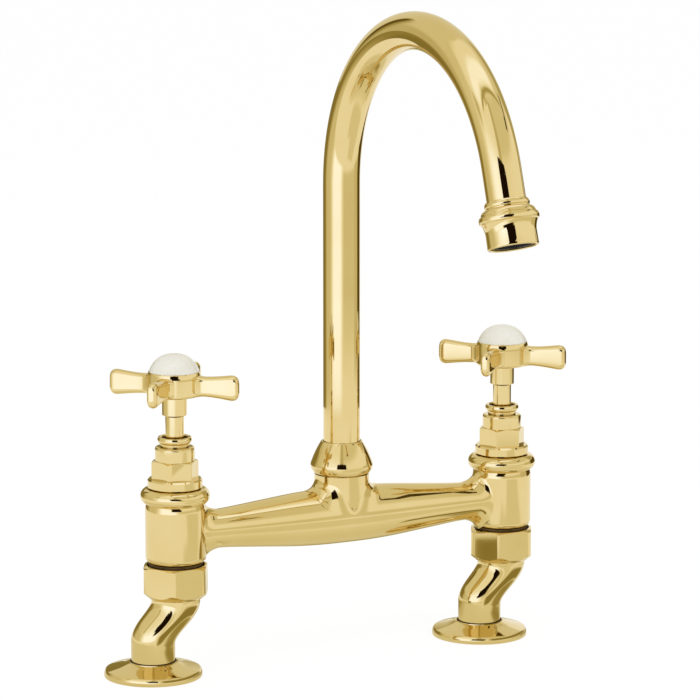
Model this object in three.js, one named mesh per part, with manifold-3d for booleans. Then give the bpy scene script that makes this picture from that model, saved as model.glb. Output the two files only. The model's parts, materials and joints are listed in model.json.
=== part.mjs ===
// A two-hole bridge kitchen tap in polished brass: two cranked legs, a cast bridge with a valve barrel at
// each end, cross handles with domed indices, and a swan-neck spout that swivels on the centre neck.
// Millimetres, +Z up, the front faces -Y. The origin is on the worktop, straight below the spout's column.
import * as THREE from "three";
import { mergeVertices } from "three/addons/utils/BufferGeometryUtils.js";
import Module from "manifold-3d";

const wasm = await Module();
wasm.setup();

// ---- Driving dimensions -------------------------------------------------------------------------
const CLEARANCE = 0.3; // left between any two pieces that touch, seat or slide
const PAST = 1; // that a cutter runs past the metal, or a joined piece runs into it
const VALVE_SPACING = 180; // between the two valve axes, the usual distance between tap holes

// Deck flanges, gaskets and cranked legs
const FLANGE_RADIUS = 23.7;
const FLANGE_RIM_HEIGHT = 3;
const FLANGE_HEIGHT = 7.7;
const GASKET_RADIUS = 19.5;
const GASKET_THICKNESS = 1.2;
const GASKET_CLEAR = 0.1; // between the gasket and the worktop that it is squeezed on
const FLANGE_EDGE = 0.8;
const PIPE_RADIUS = 10.6; // lower end of the leg
const INLET_BORE_RADIUS = 7.5;
const LEG_FOOT_HEIGHT = 16; // straight pipe up to the crank
const CRANK_HEIGHT = 20.5;
const CRANK_OFFSET = 12.3; // the foot stands this far to -X of the valve axis
const CRANK_FULLNESS = 0.4; // how far the section widens where the crank leans
const LEG_NECK_RADIUS = 11.8;
const LEG_NECK_SHOW = 1.2; // straight neck that shows below the union nut

// Union nuts and washers
const NUT_ACROSS_FLATS = 30;
const NUT_HEIGHT = 16.1;
const NUT_FLOOR = 4;
const NUT_CHAMFER = 4.6; // height of the rounded corners below
const NUT_EDGE = 1.2;
const NUT_RIM = 1.6; // width of the nut's lower face round the leg's neck
const UNION_THREAD_RADIUS = 13.1;
const LEG_HEAD_HEIGHT = 3;
const WASHER_THICKNESS = 1.5;
const BARREL_BORE_RADIUS = 8.6; // below the valve seat

// Bridge casting: barrels, arms and centre neck
const BARREL_RADIUS = 14.6;
const BARREL_TAIL = 7.4; // threaded tail that goes down into the union nut
const BARREL_ROUND = 3.7; // where the tail widens to the barrel
const BARREL_STRAIGHT = 25.7;
const BEAD_HEIGHT = 7.5;
const BEAD_RADIUS = 16.8;
const BEAD_TOP_RADIUS = 14;
const BEAD_WIDEST = 0.53; // share of the bead's height
const SEAT_ABOVE_TAIL = 14.4; // valve seat above the end of the tail
const SEAT_HOLE_RADIUS = 5.2;
const SEAT_WEB = 2.5;
const ARM_ABOVE_TAIL = 22; // axis of the arms above the end of the tail
const ARM_END_RADIUS = 9.9;
const ARM_MIDDLE_RADIUS = 13.8;
const ARM_BORE_RADIUS = 5.5;
const ARM_STRAIGHT_MIDDLE = 18.6; // half length of the level stretch in the middle
const ARM_STRAIGHT_END = 23.5; // level stretch out from each valve axis
const FILLET_RADIUS = 5;
const FILLET_STEPS = 3;
const ARM_FILLET_STRETCH = 1.45; // the arms' fillets run further along the arm than up the barrel
const NECK_RADIUS = 13.5;
const NECK_HEIGHT = 19.6; // from the arms' axis to the neck's shoulder
const SPIGOT_HEIGHT = 5.3;
const SPIGOT_RADIUS = 12.1;
const SOCKET_DEPTH = 20.3;

// Headwork, gland and moving valve pieces
const HEADWORK_THREAD_RADIUS = 10.2;
const HEADWORK_THREAD_LENGTH = 11;
const SKIRT_RADIUS = 8.7;
const SKIRT_WALL = 1.2;
const SEAT_SEAL_THICKNESS = 2.5;
const DISC_THICKNESS = 3;
const BEZEL_RADIUS = 13.25;
const BEZEL_HEIGHT = 4.5;
const HEADWORK_EDGE = 1;
const HEX_ACROSS_FLATS = 20.2;
const HEX_HEIGHT = 8.8;
const HEX_TURN = 48; // degrees, where a corner of the tightened hexagon points
const SHOULDER_RADIUS = 9.6;
const SHOULDER_HEIGHT = 6.7;
const GLAND_RADIUS = 8.35;
const GLAND_HEIGHT = 4.5;
const GLAND_EDGE = 0.9;
const GLAND_WAIST = 1.4; // how far the gland nut narrows at its foot
const GLAND_THREAD_RADIUS = 6.6;
const GLAND_THREAD_LENGTH = 6;
const GLAND_CUP_RADIUS = 6.4;
const GLAND_CUP_DEPTH = 1.8;
const SPINDLE_RADIUS = 5.2;
const SPINDLE_COLLAR_HEIGHT = 2.9;
const SPINDLE_GROOVE_BELOW_COLLAR = 5;
const SPINDLE_FOOT_HEIGHT = 3;
const STEM_RADIUS = 4.5;
const STEM_SHOW = 10.1; // bare stem between the gland and the handle
const PORT_INNER_RADIUS = 1.6;
const PORT_RIM = 2; // ceramic left outside the ports
const PORT_HALF_ANGLE = 35; // degrees
const TONGUE_WIDTH = 3;
const TONGUE_HEIGHT = 1.4;
const SPLINE_ROOT_RADIUS = 3.7;
const SPLINE_TIP_RADIUS = 4.2;
const SPLINE_TEETH = 8;
const SPLINE_LENGTH = 11.6;
const O_RING_SECTION = 0.55;

// Cross handles, screws and indices
const BOSS_RADIUS = 5.95;
const BOSS_HEIGHT = 9.6;
const HUB_RADIUS = 13;
const HUB_HEIGHT = 11.8;
const HUB_EDGE = 0.8;
const ARM_REACH = 32.6;
const ARM_ANGLE = 45; // degrees between the first arm and the bridge
const ARM_COUNT = 4;
const ARM_NECK_HEIGHT = 9.8;
const ARM_TIP_HEIGHT = 12.6;
const ARM_THICKNESS = 5;
const ARM_EDGE = 0.9;
const ARM_TIP_CORNER = 3;
const ARM_ROOT_DEPTH = 3; // how far the blades start inside the hub
const ARM_NECK_SHOW = 2; // length of the narrow neck outside the hub
const ARM_ABOVE_HUB = 5.1; // arms' centre above the hub's underside
const INDEX_RADIUS = 12.1;
const INDEX_DOME = 8.2;
const INDEX_SEAT_DEPTH = 3;
const SCREW_HEAD_RADIUS = 3.9;
const SCREW_HEAD_HEIGHT = 2.8;
const SCREW_RADIUS = 2;
const SCREW_LENGTH = 12;
const SCREW_SLOT = 0.9;
const SCREW_WEB = 2.4; // metal of the hub that the screw clamps

// Spout, collar and nozzle
const TUBE_RADIUS = 9;
const TUBE_WALL = 1.2;
const BEND_START = 233.4; // height above the worktop where the column starts to bend
const BEND_RADIUS = 80.6;
const BEND_ANGLE = 161.7; // degrees
const TUBE_END_LENGTH = 23.2; // straight tube past the bend, with its end inside the nozzle
const COLLAR_HEIGHT = 17.3;
const COLLAR_WIDEST = 4.4; // above the collar's lower edge
const COLLAR_RADIUS = 15.35;
const COLLAR_UNDER = [0.55, 2.55]; // a point of the underside, in from the widest radius and above the edge
const COLLAR_DOME = [2.35, 6.4]; // a point of the dome, in from the widest point and above it
const COLLAR_TOP_RADIUS = 10.1;
const GLIDE_WASHER_THICKNESS = 1.2;
const SHANK_RADIUS = 8.7;
const SHANK_BORE_RADIUS = 5.5;
const SHANK_FLANGE_HEIGHT = 2.8;
const SHANK_SPIGOT_LENGTH = 11;
const SHANK_O_RING_SECTION = 0.75;
const SHANK_FIRST_GROOVE = 3; // above the shank's lower end
const SHANK_O_RING_PITCH = 7;
const NOZZLE_LENGTH = 21.5;
const NOZZLE_SOCKET = 8.5;
const NOZZLE_BULGE_RADIUS = 13.85;
const NOZZLE_MOUTH_RADIUS = 11.75;
const NOZZLE_WALL = 1.5;
const NOZZLE_THROAT_RADIUS = 7.5;
const NOZZLE_THROAT_LENGTH = 1.4;
const NOZZLE_EDGE = 0.6;
const AERATOR_WALL = 1;
const AERATOR_LEDGE = 1;
const AERATOR_LEDGE_HEIGHT = 1.2;
const AERATOR_SEAT = 0.2; // how much wider the bore is where the screen sits
const SCREEN_THICKNESS = 1;
const SCREEN_HOLE_RADIUS = 1.15;
const SCREEN_HOLE_PITCH = 4.6;
const SCREEN_HOLES_ROUND = 6;

// Facets round a full circle, for showing and for hidden pieces
const SIDES = 20;
const HIDDEN_SIDES = 10;
const SCREW_SIDES = 8;
const BEND_STEPS = 14; // facets along the spout's bend
const CRANK_STEPS = 4; // facets along a leg's crank

// ---- Heights worked out from the driving dimensions ---------------------------------------------
const legNeckBottom = LEG_FOOT_HEIGHT + CRANK_HEIGHT;
const nutBottom = legNeckBottom + LEG_NECK_SHOW;
const nutTop = nutBottom + NUT_HEIGHT;
const legHeadBottom = nutBottom + NUT_FLOOR + CLEARANCE;
const legTop = legHeadBottom + LEG_HEAD_HEIGHT;
const unionWasherBottom = legTop + CLEARANCE;
const barrelBottom = unionWasherBottom + WASHER_THICKNESS + CLEARANCE;
const barrelFull = barrelBottom + BARREL_TAIL + BARREL_ROUND;
const beadBottom = barrelFull + BARREL_STRAIGHT;
const barrelTop = beadBottom + BEAD_HEIGHT;
const seatTop = barrelBottom + SEAT_ABOVE_TAIL;
const armAxis = barrelBottom + ARM_ABOVE_TAIL;

const chamberRadius = HEADWORK_THREAD_RADIUS + CLEARANCE;
const seatSealBottom = seatTop + CLEARANCE;
const skirtBottom = seatSealBottom + SEAT_SEAL_THICKNESS + CLEARANCE;
const skirtBoreRadius = SKIRT_RADIUS - SKIRT_WALL;
const discRadius = skirtBoreRadius - CLEARANCE;
const movingDiscBottom = skirtBottom + DISC_THICKNESS + CLEARANCE;
const spindleFootBottom = movingDiscBottom + DISC_THICKNESS + CLEARANCE;
const spindleFootTop = spindleFootBottom + SPINDLE_FOOT_HEIGHT;
const skirtRoof = spindleFootTop + CLEARANCE;
const bezelBottom = barrelTop + CLEARANCE;
const hexBottom = bezelBottom + BEZEL_HEIGHT;
const hexTop = hexBottom + HEX_HEIGHT;
const shoulderTop = hexTop + SHOULDER_HEIGHT;
const glandBottom = shoulderTop + CLEARANCE;
const glandTop = glandBottom + GLAND_HEIGHT;
const glandThreadBottom = glandBottom - GLAND_THREAD_LENGTH;
const collarTop = glandThreadBottom - CLEARANCE;
const collarBottom = collarTop - SPINDLE_COLLAR_HEIGHT;
const spindleCounterbore = collarBottom - CLEARANCE;
const bossBottom = glandTop + STEM_SHOW + CLEARANCE;
const stemTop = bossBottom - CLEARANCE;
const hubBottom = bossBottom + BOSS_HEIGHT;
const hubTop = hubBottom + HUB_HEIGHT;
const splineTop = stemTop + SPLINE_LENGTH;
const splineSocketTop = splineTop + CLEARANCE;
const screwSeat = splineSocketTop + SCREW_WEB;
const screwHeadBottom = screwSeat + CLEARANCE;
const indexSeat = hubTop - INDEX_SEAT_DEPTH;
const indexBottom = indexSeat + CLEARANCE;

const neckTop = armAxis + NECK_HEIGHT;
const spigotTop = neckTop + SPIGOT_HEIGHT;
const spoutCollarBottom = neckTop + CLEARANCE;
const spoutCollarTop = spoutCollarBottom + COLLAR_HEIGHT;
const glideWasherBottom = spigotTop + CLEARANCE;
const shankFlangeBottom = glideWasherBottom + GLIDE_WASHER_THICKNESS + CLEARANCE;
const shankFlangeTop = shankFlangeBottom + SHANK_FLANGE_HEIGHT;
const socketRadius = SHANK_RADIUS + CLEARANCE;
const socketFloor = spigotTop - SOCKET_DEPTH;
const shankBottom = socketFloor + CLEARANCE;
const tubeBoreRadius = TUBE_RADIUS - TUBE_WALL;
const tubeBottom = shankFlangeTop + CLEARANCE;
const bendAngle = THREE.MathUtils.degToRad(BEND_ANGLE);
const nozzleTurn = Math.PI - bendAngle; // how far the nozzle leans forward from straight down

// ---- Finishes -----------------------------------------------------------------------------------
const finish = (color, roughness, metalness) =>
  new THREE.MeshStandardMaterial({ color, roughness, metalness });
const polishedBrass = () => finish(0xdfc27a, 0.12, 1);
const plainBrass = () => finish(0xb59a55, 0.35, 1);
const whiteEnamel = () => finish(0xf0eee4, 0.2, 0);
const ceramic = () => finish(0xe9e6df, 0.3, 0);
const blackRubber = () => finish(0x1c1c1c, 0.8, 0);
const nylon = () => finish(0xe6e2d6, 0.5, 0);
const blackPlastic = () => finish(0x232323, 0.5, 0);
const steel = () => finish(0xb8babd, 0.3, 1);

// ---- Solids -------------------------------------------------------------------------------------
// A closed three.js geometry as a manifold-3d solid.
function solid(geometry) {
  const bare = geometry.clone();
  bare.deleteAttribute("normal");
  bare.deleteAttribute("uv");
  const merged = mergeVertices(bare, 1e-4);
  return new wasm.Manifold(
    new wasm.Mesh({
      numProp: 3,
      vertProperties: merged.attributes.position.array,
      triVerts: new Uint32Array(merged.index.array),
    }),
  );
}

// A manifold-3d solid as a three.js geometry.
function geometryOf(made) {
  const mesh = made.getMesh();
  const points = new Float32Array((mesh.vertProperties.length / mesh.numProp) * 3);
  for (let i = 0; i < points.length / 3; i++) {
    for (let k = 0; k < 3; k++) points[i * 3 + k] = mesh.vertProperties[i * mesh.numProp + k];
  }
  const geometry = new THREE.BufferGeometry();
  geometry.setAttribute("position", new THREE.BufferAttribute(points, 3));
  geometry.setIndex(new THREE.BufferAttribute(new Uint32Array(mesh.triVerts), 1));
  geometry.computeVertexNormals();
  return geometry;
}

// A revolve about Z of a closed profile of [radius, height] points, which run anticlockwise.
function revolve(profile, sides = SIDES) {
  const points = profile.map(([radius, height]) => new THREE.Vector2(radius, height));
  points.push(points[0].clone());
  return new THREE.LatheGeometry(points, sides).rotateX(Math.PI / 2);
}

// The radius at a facet's corner that leaves the flats of a faceted hole at the radius asked for.
const holeRadius = (radius, sides) => radius / Math.cos(Math.PI / sides);

// A full disc: its profile starts and ends on the axis.
function disc(radius, bottom, top, sides = SIDES) {
  return revolve([[0, bottom], [radius, bottom], [radius, top], [0, top]], sides);
}

// The round cutter for a bore.
const bore = (radius, bottom, top, sides = SIDES) => disc(holeRadius(radius, sides), bottom, top, sides);

// A flat washer, and any other plain ring.
function washer(inner, outer, bottom, thickness, sides = HIDDEN_SIDES) {
  const hole = holeRadius(inner, sides);
  const top = bottom + thickness;
  return revolve([[hole, bottom], [outer, bottom], [outer, top], [hole, top]], sides);
}

// Points of an arc about [x, y], from one angle to another in degrees.
function arc(x, y, radius, from, to, steps) {
  return Array.from({ length: steps + 1 }, (_, i) => {
    const angle = THREE.MathUtils.degToRad(from + ((to - from) * i) / steps);
    return [x + radius * Math.cos(angle), y + radius * Math.sin(angle)];
  });
}

// The arc through three points of a profile.
function arcThrough(start, middle, end, steps) {
  const [a, b, c] = [start, middle, end].map(([x, y]) => new THREE.Vector2(x, y));
  const d = 2 * (a.x * (b.y - c.y) + b.x * (c.y - a.y) + c.x * (a.y - b.y));
  const [aa, bb, cc] = [a, b, c].map((p) => p.lengthSq());
  const x = (aa * (b.y - c.y) + bb * (c.y - a.y) + cc * (a.y - b.y)) / d;
  const y = (aa * (c.x - b.x) + bb * (a.x - c.x) + cc * (b.x - a.x)) / d;
  const angleOf = (p) => THREE.MathUtils.radToDeg(Math.atan2(p.y - y, p.x - x));
  const from = angleOf(a);
  const turn = (angleTo, left) => (((angleTo - from) % 360) + (left ? 360 : -360)) % 360;
  const left = d > 0;
  return arc(x, y, Math.hypot(a.x - x, a.y - y), from, from + turn(angleOf(c), left), steps);
}

// An upright prism with round or angular outline.
function prism(shape, bottom, top) {
  const geometry = new THREE.ExtrudeGeometry(shape, { depth: top - bottom, bevelEnabled: false });
  return geometry.translate(0, 0, bottom);
}

const polygon = (points) => new THREE.Shape(points.map(([x, y]) => new THREE.Vector2(x, y)));

const circle = (radius, sides) => polygon(arc(0, 0, radius, 0, 360 - 360 / sides, sides - 1));

function hexagon(acrossFlats, turn = 0) {
  const radius = acrossFlats / Math.sqrt(3);
  return polygon(arc(0, 0, radius, turn, turn + 300, 5));
}

// Rings of points joined one after another into a closed skin, with the last joined to the first.
function ringSkin(rings) {
  const count = rings[0].length;
  const geometry = new THREE.BufferGeometry();
  const index = [];
  rings.forEach((_, i) => {
    const next = (i + 1) % rings.length;
    for (let k = 0; k < count; k++) {
      const after = (k + 1) % count;
      const [a, b, c, d] = [i * count + k, next * count + k, next * count + after, i * count + after];
      index.push(a, b, c, a, c, d);
    }
  });
  geometry.setAttribute("position", new THREE.Float32BufferAttribute(rings.flat().flat(), 3));
  geometry.setIndex(index);
  return outwards(geometry);
}

// Rings stacked from bottom to top and closed at both ends.
function loft(rings) {
  const count = rings[0].length;
  const index = [];
  for (let i = 0; i + 1 < rings.length; i++) {
    for (let k = 0; k < count; k++) {
      const after = (k + 1) % count;
      const [a, b, c, d] = [i * count + k, i * count + after, (i + 1) * count + after, (i + 1) * count + k];
      index.push(a, b, c, a, c, d);
    }
  }
  const top = (rings.length - 1) * count;
  for (let k = 1; k + 1 < count; k++) index.push(0, k + 1, k, top, top + k, top + k + 1);
  const geometry = new THREE.BufferGeometry();
  geometry.setAttribute("position", new THREE.Float32BufferAttribute(rings.flat().flat(), 3));
  geometry.setIndex(index);
  return geometry;
}

// Turns a closed skin's faces outwards if its volume comes out negative.
function outwards(geometry) {
  const at = geometry.attributes.position;
  const index = geometry.index.array;
  const [a, b, c] = [new THREE.Vector3(), new THREE.Vector3(), new THREE.Vector3()];
  let volume = 0;
  for (let i = 0; i < index.length; i += 3) {
    a.fromBufferAttribute(at, index[i]);
    b.fromBufferAttribute(at, index[i + 1]);
    c.fromBufferAttribute(at, index[i + 2]);
    volume += a.dot(b.cross(c));
  }
  if (volume < 0) {
    for (let i = 0; i < index.length; i += 3) [index[i + 1], index[i + 2]] = [index[i + 2], index[i + 1]];
  }
  return geometry;
}

// ---- The bridge casting -------------------------------------------------------------------------
// The rounded inner corner that a rolling ball leaves between an arm along X and an upright along Z.
// balls holds the ball's centres all the way round, and heel picks the buried point of each section.
function fillet(balls, armRadius, uprightRadius, heel) {
  const sink = FILLET_RADIUS / 2;
  const sections = balls.map((ball) => {
    const arm = (radius) => {
      const scale = radius / (armRadius + FILLET_RADIUS);
      return new THREE.Vector3(ball.x, ball.y * scale, ball.z * scale);
    };
    const upright = (radius) => {
      const scale = radius / (uprightRadius + FILLET_RADIUS);
      return new THREE.Vector3(ball.x * scale, ball.y * scale, ball.z);
    };
    const from = arm(armRadius).sub(ball);
    const to = upright(uprightRadius).sub(ball);
    const angle = from.angleTo(to);
    const round = Array.from({ length: FILLET_STEPS + 1 }, (_, i) => {
      const start = Math.sin((1 - i / FILLET_STEPS) * angle) / Math.sin(angle);
      const end = Math.sin((i / FILLET_STEPS) * angle) / Math.sin(angle);
      return ball.clone().addScaledVector(from, start).addScaledVector(to, end);
    });
    const [inUpright, inArm] = [upright(uprightRadius - sink), arm(armRadius - sink)];
    return [...round, inUpright, heel(inUpright, inArm), inArm].map((point) => point.toArray());
  });
  return ringSkin(sections);
}

const aroundCircle = (make) => Array.from({ length: SIDES }, (_, i) => make((2 * Math.PI * i) / SIDES));

// The corner where an arm meets the side of an upright that is wider than itself, walked round the arm.
// It is drawn out along the arm, from the upright's side outwards.
function sideFillet(armRadius, uprightRadius) {
  const balls = aroundCircle((angle) => {
    const y = (armRadius + FILLET_RADIUS) * Math.cos(angle);
    const z = (armRadius + FILLET_RADIUS) * Math.sin(angle);
    return new THREE.Vector3(Math.sqrt((uprightRadius + FILLET_RADIUS) ** 2 - y ** 2), y, z);
  });
  const heel = (inUpright, inArm) => new THREE.Vector3(inUpright.x, inArm.y, inArm.z);
  const corner = fillet(balls, armRadius, uprightRadius, heel);
  const at = corner.attributes.position;
  for (let i = 0; i < at.count; i++) {
    const side = Math.sqrt(uprightRadius ** 2 - at.getY(i) ** 2);
    at.setX(i, side + (at.getX(i) - side) * ARM_FILLET_STRETCH);
  }
  return corner;
}

// The corner where an upright stands on an arm that is wider than itself, walked round the upright.
function saddleFillet(armRadius, uprightRadius) {
  const balls = aroundCircle((angle) => {
    const x = (uprightRadius + FILLET_RADIUS) * Math.cos(angle);
    const y = (uprightRadius + FILLET_RADIUS) * Math.sin(angle);
    return new THREE.Vector3(x, y, Math.sqrt((armRadius + FILLET_RADIUS) ** 2 - y ** 2));
  });
  const heel = (inUpright, inArm) => new THREE.Vector3(inUpright.x, inUpright.y, inArm.z);
  return fillet(balls, armRadius, uprightRadius, heel);
}

function barrelProfile() {
  const bead = arcThrough(
    [BARREL_RADIUS, beadBottom],
    [BEAD_RADIUS, beadBottom + BEAD_HEIGHT * BEAD_WIDEST],
    [BEAD_TOP_RADIUS, barrelTop],
    4,
  );
  const tailTop = barrelBottom + BARREL_TAIL;
  const round = arcThrough(
    [UNION_THREAD_RADIUS, tailTop],
    [THREE.MathUtils.lerp(UNION_THREAD_RADIUS, BARREL_RADIUS, 0.7), tailTop + BARREL_ROUND / 2],
    [BARREL_RADIUS, barrelFull],
    2,
  );
  return [[0, barrelBottom], [UNION_THREAD_RADIUS, barrelBottom], ...round, ...bead, [0, barrelTop]];
}

function bridgeBody() {
  const half = VALVE_SPACING / 2;
  const armProfile = [
    [0, -half],
    [ARM_END_RADIUS, -half],
    [ARM_END_RADIUS, ARM_STRAIGHT_END - half],
    [ARM_MIDDLE_RADIUS, -ARM_STRAIGHT_MIDDLE],
    [ARM_MIDDLE_RADIUS, ARM_STRAIGHT_MIDDLE],
    [ARM_END_RADIUS, half - ARM_STRAIGHT_END],
    [ARM_END_RADIUS, half],
    [0, half],
  ];
  const arms = revolve(armProfile).rotateY(Math.PI / 2).translate(0, 0, armAxis);
  const neck = disc(NECK_RADIUS, armAxis, neckTop);
  const spigot = disc(SPIGOT_RADIUS, neckTop - PAST, spigotTop);
  let metal = solid(arms).add(solid(neck)).add(solid(spigot));
  metal = metal.add(solid(saddleFillet(ARM_MIDDLE_RADIUS, NECK_RADIUS).translate(0, 0, armAxis)));
  for (const side of [-1, 1]) {
    const barrel = revolve(barrelProfile()).translate(side * half, 0, 0);
    const corner = sideFillet(ARM_END_RADIUS, BARREL_RADIUS);
    if (side > 0) corner.rotateZ(Math.PI);
    metal = metal.add(solid(barrel)).add(solid(corner.translate(side * half, 0, armAxis)));
  }
  const passage = bore(ARM_BORE_RADIUS, -half, half, HIDDEN_SIDES).rotateY(Math.PI / 2);
  metal = metal.subtract(solid(passage.translate(0, 0, armAxis)));
  metal = metal.subtract(solid(bore(socketRadius, socketFloor, spigotTop + PAST)));
  metal = metal.subtract(solid(bore(SHANK_BORE_RADIUS, armAxis, socketFloor + PAST, HIDDEN_SIDES)));
  for (const side of [-1, 1]) {
    const steps = [
      bore(BARREL_BORE_RADIUS, barrelBottom - PAST, seatTop - SEAT_WEB, HIDDEN_SIDES),
      bore(SEAT_HOLE_RADIUS, seatTop - SEAT_WEB - PAST, seatTop + PAST, HIDDEN_SIDES),
      bore(chamberRadius, seatTop, barrelTop + PAST),
    ];
    for (const step of steps) metal = metal.subtract(solid(step.translate(side * half, 0, 0)));
  }
  return geometryOf(metal);
}

// ---- Legs, unions and flanges -------------------------------------------------------------------
// Share of the crank's offset, and its slope, at a height above the worktop.
function crankAt(height) {
  const t = THREE.MathUtils.clamp((height - LEG_FOOT_HEIGHT) / CRANK_HEIGHT, 0, 1);
  return { share: 1 - t * t * (3 - 2 * t), slope: (6 * t * (1 - t) * CRANK_OFFSET) / CRANK_HEIGHT, t };
}

// A level ring of the leg, wider along X where the crank leans.
function legRing(height, radius, sides) {
  const { share, slope } = crankAt(height);
  const wide = radius * Math.sqrt(1 + CRANK_FULLNESS * slope ** 2);
  const centre = -CRANK_OFFSET * share;
  return Array.from({ length: sides }, (_, k) => {
    const angle = (2 * Math.PI * k) / sides;
    return [centre + wide * Math.cos(angle), radius * Math.sin(angle), height];
  });
}

const crankHeights = Array.from(
  { length: CRANK_STEPS + 1 },
  (_, i) => LEG_FOOT_HEIGHT + (CRANK_HEIGHT * i) / CRANK_STEPS,
);

function leg() {
  const outerRadius = (height) => THREE.MathUtils.lerp(PIPE_RADIUS, LEG_NECK_RADIUS, crankAt(height).t);
  const skin = [0, ...crankHeights, legTop].map((height) => legRing(height, outerRadius(height), SIDES));
  const boreHeights = [-PAST, ...crankHeights, legTop + PAST];
  const waterway = boreHeights.map((height) => legRing(height, INLET_BORE_RADIUS, HIDDEN_SIDES));
  const head = disc(UNION_THREAD_RADIUS, legHeadBottom, legTop);
  return geometryOf(solid(loft(skin)).add(solid(head)).subtract(solid(loft(waterway))));
}

function flange() {
  const hole = holeRadius(PIPE_RADIUS + CLEARANCE, SIDES);
  const recess = GASKET_THICKNESS + CLEARANCE;
  const recessRadius = holeRadius(GASKET_RADIUS + CLEARANCE, SIDES);
  const crown = arcThrough(
    [FLANGE_RADIUS - FLANGE_EDGE, FLANGE_RIM_HEIGHT],
    [(FLANGE_RADIUS + hole) / 2, THREE.MathUtils.lerp(FLANGE_RIM_HEIGHT, FLANGE_HEIGHT, 0.6)],
    [hole, FLANGE_HEIGHT],
    3,
  );
  const rim = [[FLANGE_RADIUS, 0], [FLANGE_RADIUS, FLANGE_RIM_HEIGHT - FLANGE_EDGE]];
  return revolve([[recessRadius, 0], ...rim, ...crown, [hole, recess], [recessRadius, recess]]);
}

// The gasket fills the recess below the flange, just clear of the worktop that it is squeezed on.
const gasket = () => washer(PIPE_RADIUS + CLEARANCE, GASKET_RADIUS, GASKET_CLEAR, GASKET_THICKNESS);

function unionNut() {
  const across = NUT_ACROSS_FLATS / Math.sqrt(3);
  const flat = NUT_ACROSS_FLATS / 2;
  const corner = [across - flat, NUT_CHAMFER];
  const turned = revolve([
    [0, nutBottom],
    [LEG_NECK_RADIUS + NUT_RIM, nutBottom],
    ...arcThrough(
      [flat - 0.5 * corner[0], nutBottom + 0.1 * corner[1]],
      [flat + 0.3 * corner[0], nutBottom + 0.5 * corner[1]],
      [across, nutBottom + corner[1]],
      2,
    ),
    [across, nutTop - NUT_EDGE],
    [flat, nutTop],
    [0, nutTop],
  ]);
  const cavity = bore(UNION_THREAD_RADIUS + CLEARANCE, nutBottom + NUT_FLOOR, nutTop + PAST);
  const hole = bore(LEG_NECK_RADIUS + CLEARANCE, nutBottom - PAST, nutTop);
  const nut = solid(prism(hexagon(NUT_ACROSS_FLATS), nutBottom, nutTop)).intersect(solid(turned));
  return geometryOf(nut.subtract(solid(cavity)).subtract(solid(hole)));
}

const unionWasher = () =>
  washer(BARREL_BORE_RADIUS, UNION_THREAD_RADIUS - CLEARANCE, unionWasherBottom, WASHER_THICKNESS);

// ---- Headwork: fixed pieces ---------------------------------------------------------------------
function headwork() {
  const across = HEX_ACROSS_FLATS / Math.sqrt(3);
  const edge = HEADWORK_EDGE;
  const threadBottom = bezelBottom - HEADWORK_THREAD_LENGTH;
  const outer = revolve([
    [0, skirtBottom],
    [SKIRT_RADIUS, skirtBottom],
    [SKIRT_RADIUS, threadBottom - edge],
    [HEADWORK_THREAD_RADIUS, threadBottom],
    [HEADWORK_THREAD_RADIUS, bezelBottom],
    [BEZEL_RADIUS, bezelBottom],
    [BEZEL_RADIUS, hexBottom - edge / 2],
    [BEZEL_RADIUS - edge / 2, hexBottom],
    [0, hexBottom],
  ]);
  const turned = revolve([
    [0, hexBottom - edge],
    [across, hexBottom - edge],
    [across, hexTop - edge],
    [HEX_ACROSS_FLATS / 2, hexTop],
    [0, hexTop],
  ]);
  const bar = prism(hexagon(HEX_ACROSS_FLATS, HEX_TURN), hexBottom - edge, hexTop);
  const hex = solid(bar).intersect(solid(turned));
  const shoulder = revolve([
    [0, hexTop - edge],
    [SHOULDER_RADIUS, hexTop - edge],
    [SHOULDER_RADIUS, shoulderTop - edge],
    [SHOULDER_RADIUS - edge, shoulderTop],
    [0, shoulderTop],
  ]);
  const steps = [
    bore(skirtBoreRadius, skirtBottom - PAST, skirtRoof, HIDDEN_SIDES),
    bore(SPINDLE_RADIUS + CLEARANCE, skirtBottom, shoulderTop + PAST, HIDDEN_SIDES),
    bore(GLAND_THREAD_RADIUS + CLEARANCE, spindleCounterbore, shoulderTop + PAST, HIDDEN_SIDES),
  ];
  const window = new THREE.BoxGeometry(2 * SKIRT_RADIUS + 2 * PAST, skirtBoreRadius, DISC_THICKNESS * 2);
  window.translate(0, 0, movingDiscBottom + DISC_THICKNESS);
  let metal = solid(outer).add(hex).add(solid(shoulder));
  for (const step of steps) metal = metal.subtract(solid(step));
  return geometryOf(metal.subtract(solid(window)));
}

const seatSeal = () =>
  washer(SEAT_HOLE_RADIUS, SKIRT_RADIUS - CLEARANCE, seatSealBottom, SEAT_SEAL_THICKNESS);

// Two opposite ports of a ceramic disc, each a quarter of a ring.
function discPorts(bottom, turn) {
  const outer = discRadius - PORT_RIM;
  return [turn, turn + 180].map((middle) => {
    const [from, to] = [middle - PORT_HALF_ANGLE, middle + PORT_HALF_ANGLE];
    const outline = [...arc(0, 0, outer, from, to, 3), ...arc(0, 0, PORT_INNER_RADIUS, to, from, 2)];
    return solid(prism(polygon(outline), bottom - PAST, bottom + DISC_THICKNESS + PAST));
  });
}

// The fixed disc's ports face left and right. At rest the moving disc's ports stand square to them.
function fixedDisc() {
  let plate = solid(disc(discRadius, skirtBottom, skirtBottom + DISC_THICKNESS, HIDDEN_SIDES));
  for (const port of discPorts(skirtBottom, 0)) plate = plate.subtract(port);
  return geometryOf(plate);
}

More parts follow.
